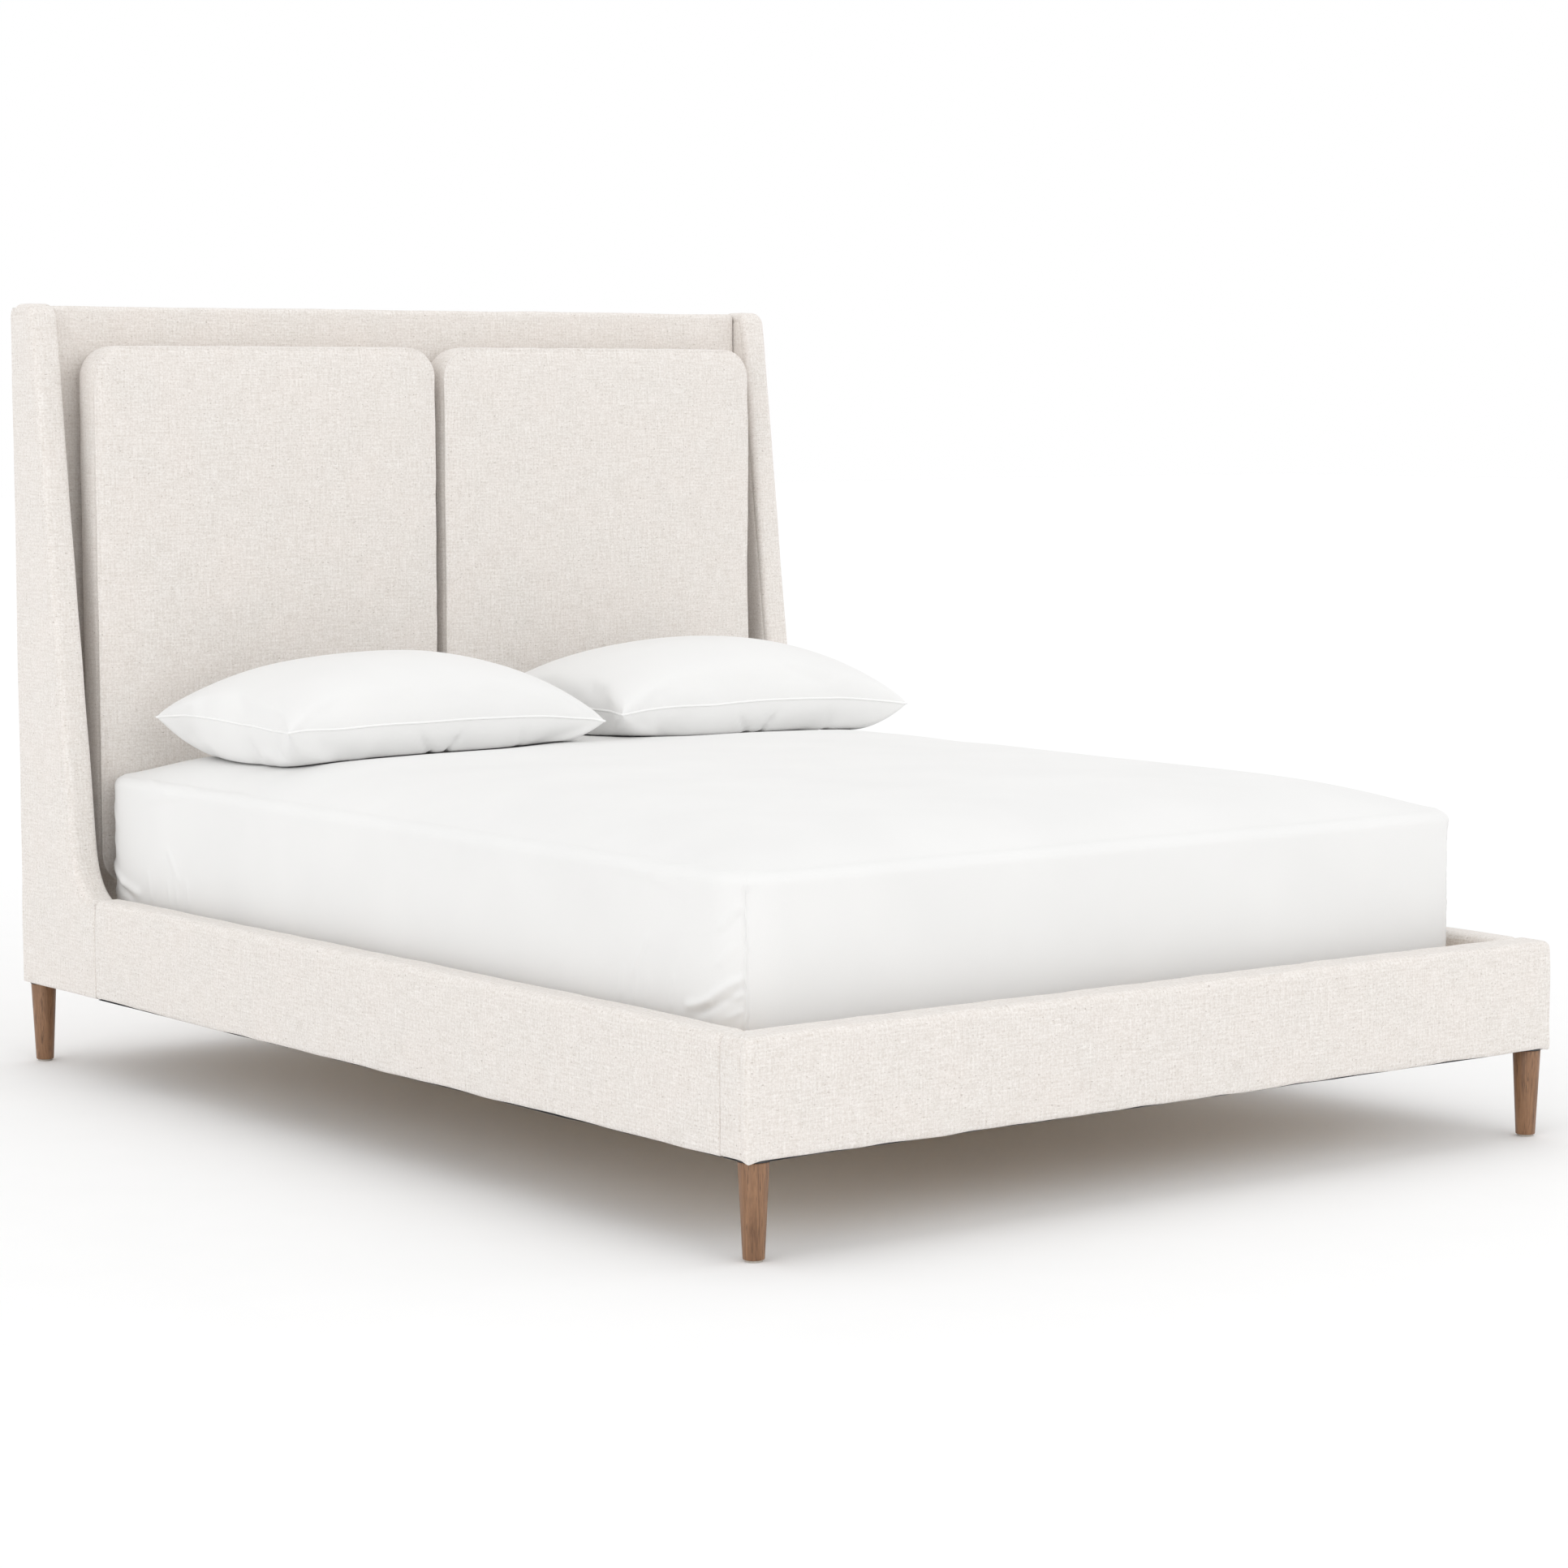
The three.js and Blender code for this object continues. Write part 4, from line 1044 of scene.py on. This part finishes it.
def fitted_sheet():
    rows = 56
    points, faces, ring = bedding_skin(SHEET_OFFSET, 0.010, rows, dense=True)
    normals = point_normals(points, faces)
    profile = np.array(mattress_profile(SHEET_OFFSET, rows))
    climb = np.concatenate([[0.0], np.cumsum(np.linalg.norm(np.diff(profile, axis=0), axis=1))])
    level = int(np.argmin(np.abs(profile[:, 1] - RAIL_HIGH.z)))
    up = np.repeat(climb - climb[level] + profile[level, 1] - RAIL_HIGH.z, len(ring))
    push = 0.0008 * ripple(points, 0.22, 101)
    for corner, along in enumerate(corner_distances(ring)):
        wider = 1 + 0.07 * (corner - 2)
        push[:len(up)] += corner_cloth(np.tile(along * wider, len(profile)), up)
    points = points + normals * push[:, None]
    under = normals[:, 2] < -0.9
    inner = np.arange(len(points)) >= len(up)
    faces = [face for face in faces if not (under & inner)[face].any()]
    made = piece("sheet_cloth", points, faces, PERCALE)
    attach(made, "bedding")
    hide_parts("fitted_sheet")


# ---- Pillows ----

def pillow_seam(u, v):
    """How far the sewn edge is above its lowest place. u runs along the pillow and v across it."""
    seam = 0.007 * (1 - u * u) + 0.004 * (1 - v * v)
    seam += 0.006 * v * abs(u) ** 3 - 0.003 * abs(u * v) ** 3
    return seam + 0.011 * max(0.0, -u) ** 3 * max(0.0, -v) ** 3


def grid_rim(nx, ny):
    """The places round the edge of a grid, in order."""
    near = [(i, 0) for i in range(nx)] + [(nx, j) for j in range(ny)]
    far = [(i, ny) for i in range(nx, 0, -1)] + [(0, j) for j in range(ny, 0, -1)]
    return near + far


def pillow_form(above, below, seed, step=0.0125):
    """Two layers of cloth sewn together at their edge, about the seam's lowest place.
    It also returns the rim's points in order."""
    width = (PILLOW_HIGH.x - PILLOW_LOW.x) * PILLOW_SHARE
    depth = PILLOW_HIGH.y - PILLOW_LOW.y
    nx, ny = round(width / step), round(depth / step)
    points, index = [], {}
    spread = 0.45 * math.pi
    for layer in (1, -1):
        for i in range(nx + 1):
            for j in range(ny + 1):
                rim = i in (0, nx) or j in (0, ny)
                if rim and layer < 0:
                    index[layer, i, j] = index[1, i, j]
                    continue
                u = math.sin((2 * i / nx - 1) * spread) / math.sin(spread)
                v = math.sin((2 * j / ny - 1) * spread) / math.sin(spread)
                waist_x, waist_y = 1 - 0.045 * (1 - v * v), 1 - 0.06 * (1 - u * u)
                full = max(0.0, (1 - abs(u) ** 2.4) * (1 - abs(v) ** 2.4))
                lift = above * full ** 0.5 if layer > 0 else -below * min(1.0, 1.9 * full ** 0.5)
                index[layer, i, j] = len(points)
                place = (u * width / 2 * waist_x, v * depth / 2 * waist_y, pillow_seam(u, v) + lift)
                points.append(place)
    faces = []
    for layer in (1, -1):
        for i in range(nx):
            for j in range(ny):
                face = [index[layer, a, b] for a, b in ((i, j), (i + 1, j), (i + 1, j + 1), (i, j + 1))]
                faces.append(face if layer > 0 else face[::-1])
    rim = [index[1, i, j] for i, j in grid_rim(nx, ny)]
    points = np.array(points)
    points[:, 2] += 0.002 * ripple(points, 0.2, seed)
    return points, faces, rim


def closed_tube(name, path, radius, material):
    """A thin tube along a closed path."""
    sides = 6
    tangent = np.roll(path, -1, axis=0) - np.roll(path, 1, axis=0)
    tangent /= np.linalg.norm(tangent, axis=1, keepdims=True)
    out = np.cross(tangent, (0.0, 0.0, 1.0))
    out /= np.linalg.norm(out, axis=1, keepdims=True)
    lift = np.cross(out, tangent)
    angles = [2 * math.pi * i / sides for i in range(sides)]
    points = np.stack([path + radius * (out * math.cos(a) + lift * math.sin(a)) for a in angles], axis=1)
    faces = ring_faces(len(path), sides, turned_over=True, closed=True)
    return piece(name, points.reshape(-1, 3), faces, material)


# Small tucks below a pillow's front seam: place along it, lean, depth and half width.
PILLOW_TUCKS = ((-0.030, 0.9, 0.0050, 0.006), (0.036, -0.5, 0.0060, 0.005), (0.175, 0.3, 0.0025, 0.007))


def pillow_tucks(points):
    """How far the tucks pull the underside of a pillow in, at points measured from its middle."""
    below = PILLOW_LOW.z - PILLOW_SINK + PILLOW_SEAM_HEIGHT - points[:, 2]
    front = smooth_step(-(points[:, 1] + 0.13) / 0.05)
    push = np.zeros(len(points))
    for place, lean, depth, width in PILLOW_TUCKS:
        off = (points[:, 0] - place - lean * (below - 0.03)) / width
        push -= depth * np.exp(-off ** 2)
    return push * front * smooth_step(below / 0.03)


def settled(points, seam_level):
    """Lowers the part of a pillow below its seam on to the sheet, where it lies flat."""
    floor = sheet_surface(points) + PILLOW_CLEARANCE
    depth = np.clip((seam_level - points[:, 2]) / PILLOW_SEAM_HEIGHT, 0.0, 1.0)
    sag = 0.5 * np.clip(seam_level - PILLOW_SEAM_HEIGHT - floor, 0.0, 0.035)
    drop = points[:, 2] - sag * smooth_step(depth) - floor
    height = floor + (drop + np.sqrt(drop ** 2 + 0.006 ** 2)) / 2
    return np.where(depth > 0, height, points[:, 2])


def pillows():
    """Each pillow: a slack lens blown up until it creases, flat where it rests, with a sewn edge."""
    seam_level = PILLOW_LOW.z - PILLOW_SINK + PILLOW_SEAM_HEIGHT
    rise = PILLOW_HIGH.z - PILLOW_LOW.z - PILLOW_SEAM_HEIGHT - PILLOW_SEAM_BOW
    below = PILLOW_SEAM_HEIGHT + PILLOW_SEAM_BOW - 0.002
    middle = (PILLOW_HIGH + PILLOW_LOW) / 2
    for side in SIDES:
        seed = 111 if side == "left" else 121
        across = -1 if side == "left" else 1
        form, faces, rim = pillow_form(rise - 0.003, below, seed)
        made = piece("pillow_form", form, faces, PERCALE)
        blow_up(made, pressure=2.0, frames=20, slack=0.07, cap=0.011)
        shaped, fine = subdivided(made)
        shaped += (middle.x * across, middle.y, seam_level)
        shaped[:, 2] = settled(shaped, seam_level)
        tucks = pillow_tucks(shaped - (middle.x * across, middle.y, 0.0))
        shaped += point_normals(shaped, fine) * tucks[:, None]
        made = piece(f"pillow_cloth_{side}", shaped, fine, PERCALE)
        upholstered(made, "bed_linen", 0.6, f"pillow_{side}", body=f"pillow_{side}_body")
        # The welt wears the brighter percale, a painted highlight along the seam.
        welt = closed_tube(f"pillow_seam_{side}", shaped[rim], PILLOW_WELT_RADIUS, WELT_HIGHLIGHT_PERCALE)
        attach(welt, f"pillow_{side}_body")


# ---- Legs ----

def turned(name, profile, material, centre):
    """A closed turned shape from (radius, height) points, the first and last on the axis."""
    segments = 64
    inner = profile[1:-1]
    points = [(centre.x, centre.y, profile[0][1])]
    for radius, z in inner:
        for i in range(segments):
            angle = 2 * math.pi * i / segments
            points.append((centre.x + radius * math.cos(angle), centre.y + radius * math.sin(angle), z))
    points.append((centre.x, centre.y, profile[-1][1]))
    last = len(points) - 1
    faces = []
    for i in range(segments):
        j = (i + 1) % segments
        faces.append([0, 1 + j, 1 + i])
        for row in range(len(inner) - 1):
            a, b = 1 + row * segments, 1 + (row + 1) * segments
            faces.append([a + i, a + j, b + j, b + i])
        top = 1 + (len(inner) - 1) * segments
        faces.append([last, top + i, top + j])
    return piece(name, points, faces, material)


def legs():
    for place in ("foot_left", "foot_right", "head_left", "head_right"):
        low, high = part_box(f"leg_{place}")
        centre = (low + high) / 2
        top_radius = (high.x - low.x) / 2
        foot_radius = top_radius * LEG_TAPER
        ease = EDGE_EASE
        profile = [
            (0, low.z), (foot_radius - ease, low.z), (foot_radius - ease * 0.3, low.z + ease * 0.3),
            (foot_radius, low.z + ease), (top_radius, high.z - ease),
            (top_radius - ease * 0.3, high.z - ease * 0.3), (top_radius - ease, high.z), (0, high.z),
        ]
        made = turned(f"turned_leg_{place}", profile, LEG_WOOD, centre)
        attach(made, "bed_frame")
        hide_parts(f"leg_{place}")


# ---- Carried-over CAD nodes ----

def round_heel(core):
    """Rounds a wing core's top back edge, to keep it inside the wing's round corner."""
    points = np.array([core.matrix_world @ vertex.co for vertex in core.data.vertices])[:, 1:]
    at_heel = (points > points.max(axis=0) - 0.0001).all(axis=1)
    group = core.vertex_groups.new(name="heel")
    group.add(np.flatnonzero(at_heel).tolist(), 1.0, "REPLACE")
    bevel = core.modifiers.new("round_heel", "BEVEL")
    bevel.width = WING_CORNER_DROP
    bevel.segments = 4
    bevel.limit_method = "VGROUP"
    bevel.vertex_group = group.name


# The material and the edges' easing of each CAD node that stays, by how its name starts.
NODE_LOOKS = (
    (("rail_bracket", "beam_hanger", "levelling_foot", "leg_plate"), STEEL, 0.0004),
    (("leg_glide",), GLIDE, 0.0004),
    (("headboard_board", "cushion_board"), PLYWOOD, 0.0005),
    (("headboard_post", "wing_core", "centre_leg"), PINE["z"], EDGE_EASE),
    (("side_rail_core", "slat_ledger", "centre_beam"), PINE["y"], EDGE_EASE),
    (("headboard", "foot_rail_core", "slat"), PINE["x"], EDGE_EASE),
)


def carried_nodes():
    """Gives each CAD node that stays its material and eased edges."""
    for name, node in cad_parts.items():
        if node.hide_render:
            continue
        looks = ((material, ease) for starts, material, ease in NODE_LOOKS if name.startswith(starts))
        material, ease = next(looks)
        node.data.materials.clear()
        node.data.materials.append(material)
        weld = node.modifiers.new("joined_faces", "WELD")
        weld.merge_threshold = 0.00002
        if name.startswith("wing_core"):
            round_heel(node)
        bevel = node.modifiers.new("eased_edges", "BEVEL")
        bevel.width = ease
        bevel.segments = 2
        bevel.limit_method = "ANGLE"
        bevel.harden_normals = True


def rail_linings():
    """A strip of dark lining closes each rail's underside."""
    runs = {
        "lining_side_left": (-RAIL_HIGH.x, -RAIL_LOW.x, RAIL_LOW.y, RAIL_HIGH.y),
        "lining_side_right": (RAIL_LOW.x, RAIL_HIGH.x, RAIL_LOW.y, RAIL_HIGH.y),
        "lining_foot": (FOOT_LOW.x, FOOT_HIGH.x, FOOT_LOW.y, FOOT_HIGH.y),
    }
    inset = 0.004
    for number, (name, (x0, x1, y0, y1)) in enumerate(runs.items()):
        xs = np.linspace(x0 + inset, x1 - inset, max(2, round((x1 - x0) / 0.03)))
        ys = np.linspace(y0 + inset, y1 - inset, max(2, round((y1 - y0) / 0.03)))
        points, faces = box_skin(xs, ys, np.array([RAIL_LOW.z - 0.0016, RAIL_LOW.z - 0.0004]))
        points[:, 2] += 0.0005 * ripple(points, 0.12, 200 + number)
        made = piece(name, points, faces, LINING)
        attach(made, "bed_frame")


# ---- Camera, lights and floor ----

CAMERA_PLACE = (-4.2741, -5.7642, 1.2599)
CAMERA_TURN = (84.4652, 0.1037, -37.1477)
CAMERA_LENS = 92.44

# Each soft sun's strength, and the direction that its light travels in.
SUN_SPREAD = 40
SUNS = {
    "front_light": (0.32, (-0.05, 0.9, -0.33)),
    "left_light": (0.42, (0.9, 0.25, -0.33)),
    "right_light": (0.20, (-0.9, 0.2, -0.30)),
}


def camera():
    data = bpy.data.cameras.new("camera")
    data.lens = CAMERA_LENS
    data.sensor_width = 36.0
    data.dof.use_dof = False
    made = bpy.data.objects.new("camera", data)
    made.location = CAMERA_PLACE
    made.rotation_euler = tuple(math.radians(angle) for angle in CAMERA_TURN)
    bpy.context.scene.collection.objects.link(made)
    bpy.context.scene.camera = made


def sun(name, strength, towards):
    data = bpy.data.lights.new(name, "SUN")
    data.energy = strength
    data.angle = math.radians(SUN_SPREAD)
    made = bpy.data.objects.new(name, data)
    made.rotation_mode = "QUATERNION"
    made.rotation_quaternion = Vector(towards).to_track_quat("-Z", "Y")
    bpy.context.scene.collection.objects.link(made)


def studio():
    world = bpy.data.worlds.new("studio")
    world.use_nodes = True
    sky = world.node_tree.nodes["Background"]
    sky.inputs["Color"].default_value = rgb(1, 1, 1)
    sky.inputs["Strength"].default_value = 1.0
    bpy.context.scene.world = world
    for name, (strength, towards) in SUNS.items():
        sun(name, strength, towards)
    lines_each_way = 9
    xs = np.linspace(-FLOOR_REACH, FLOOR_REACH, lines_each_way)
    points = [(x, y, 0.0) for x in xs for y in xs]
    corners = [i * lines_each_way + j for i in range(lines_each_way - 1) for j in range(lines_each_way - 1)]
    faces = [[a, a + lines_each_way, a + lines_each_way + 1, a + 1] for a in corners]
    piece("floor", points, faces, studio_floor())
    bpy.context.scene.view_settings.view_transform = "Standard"


camera()
side_rails()
foot_rail()
headboard_panel()
back_cloth()
wings()
headboard_cushions()
mattress()
fitted_sheet()
pillows()
legs()
rail_linings()
carried_nodes()
studio()
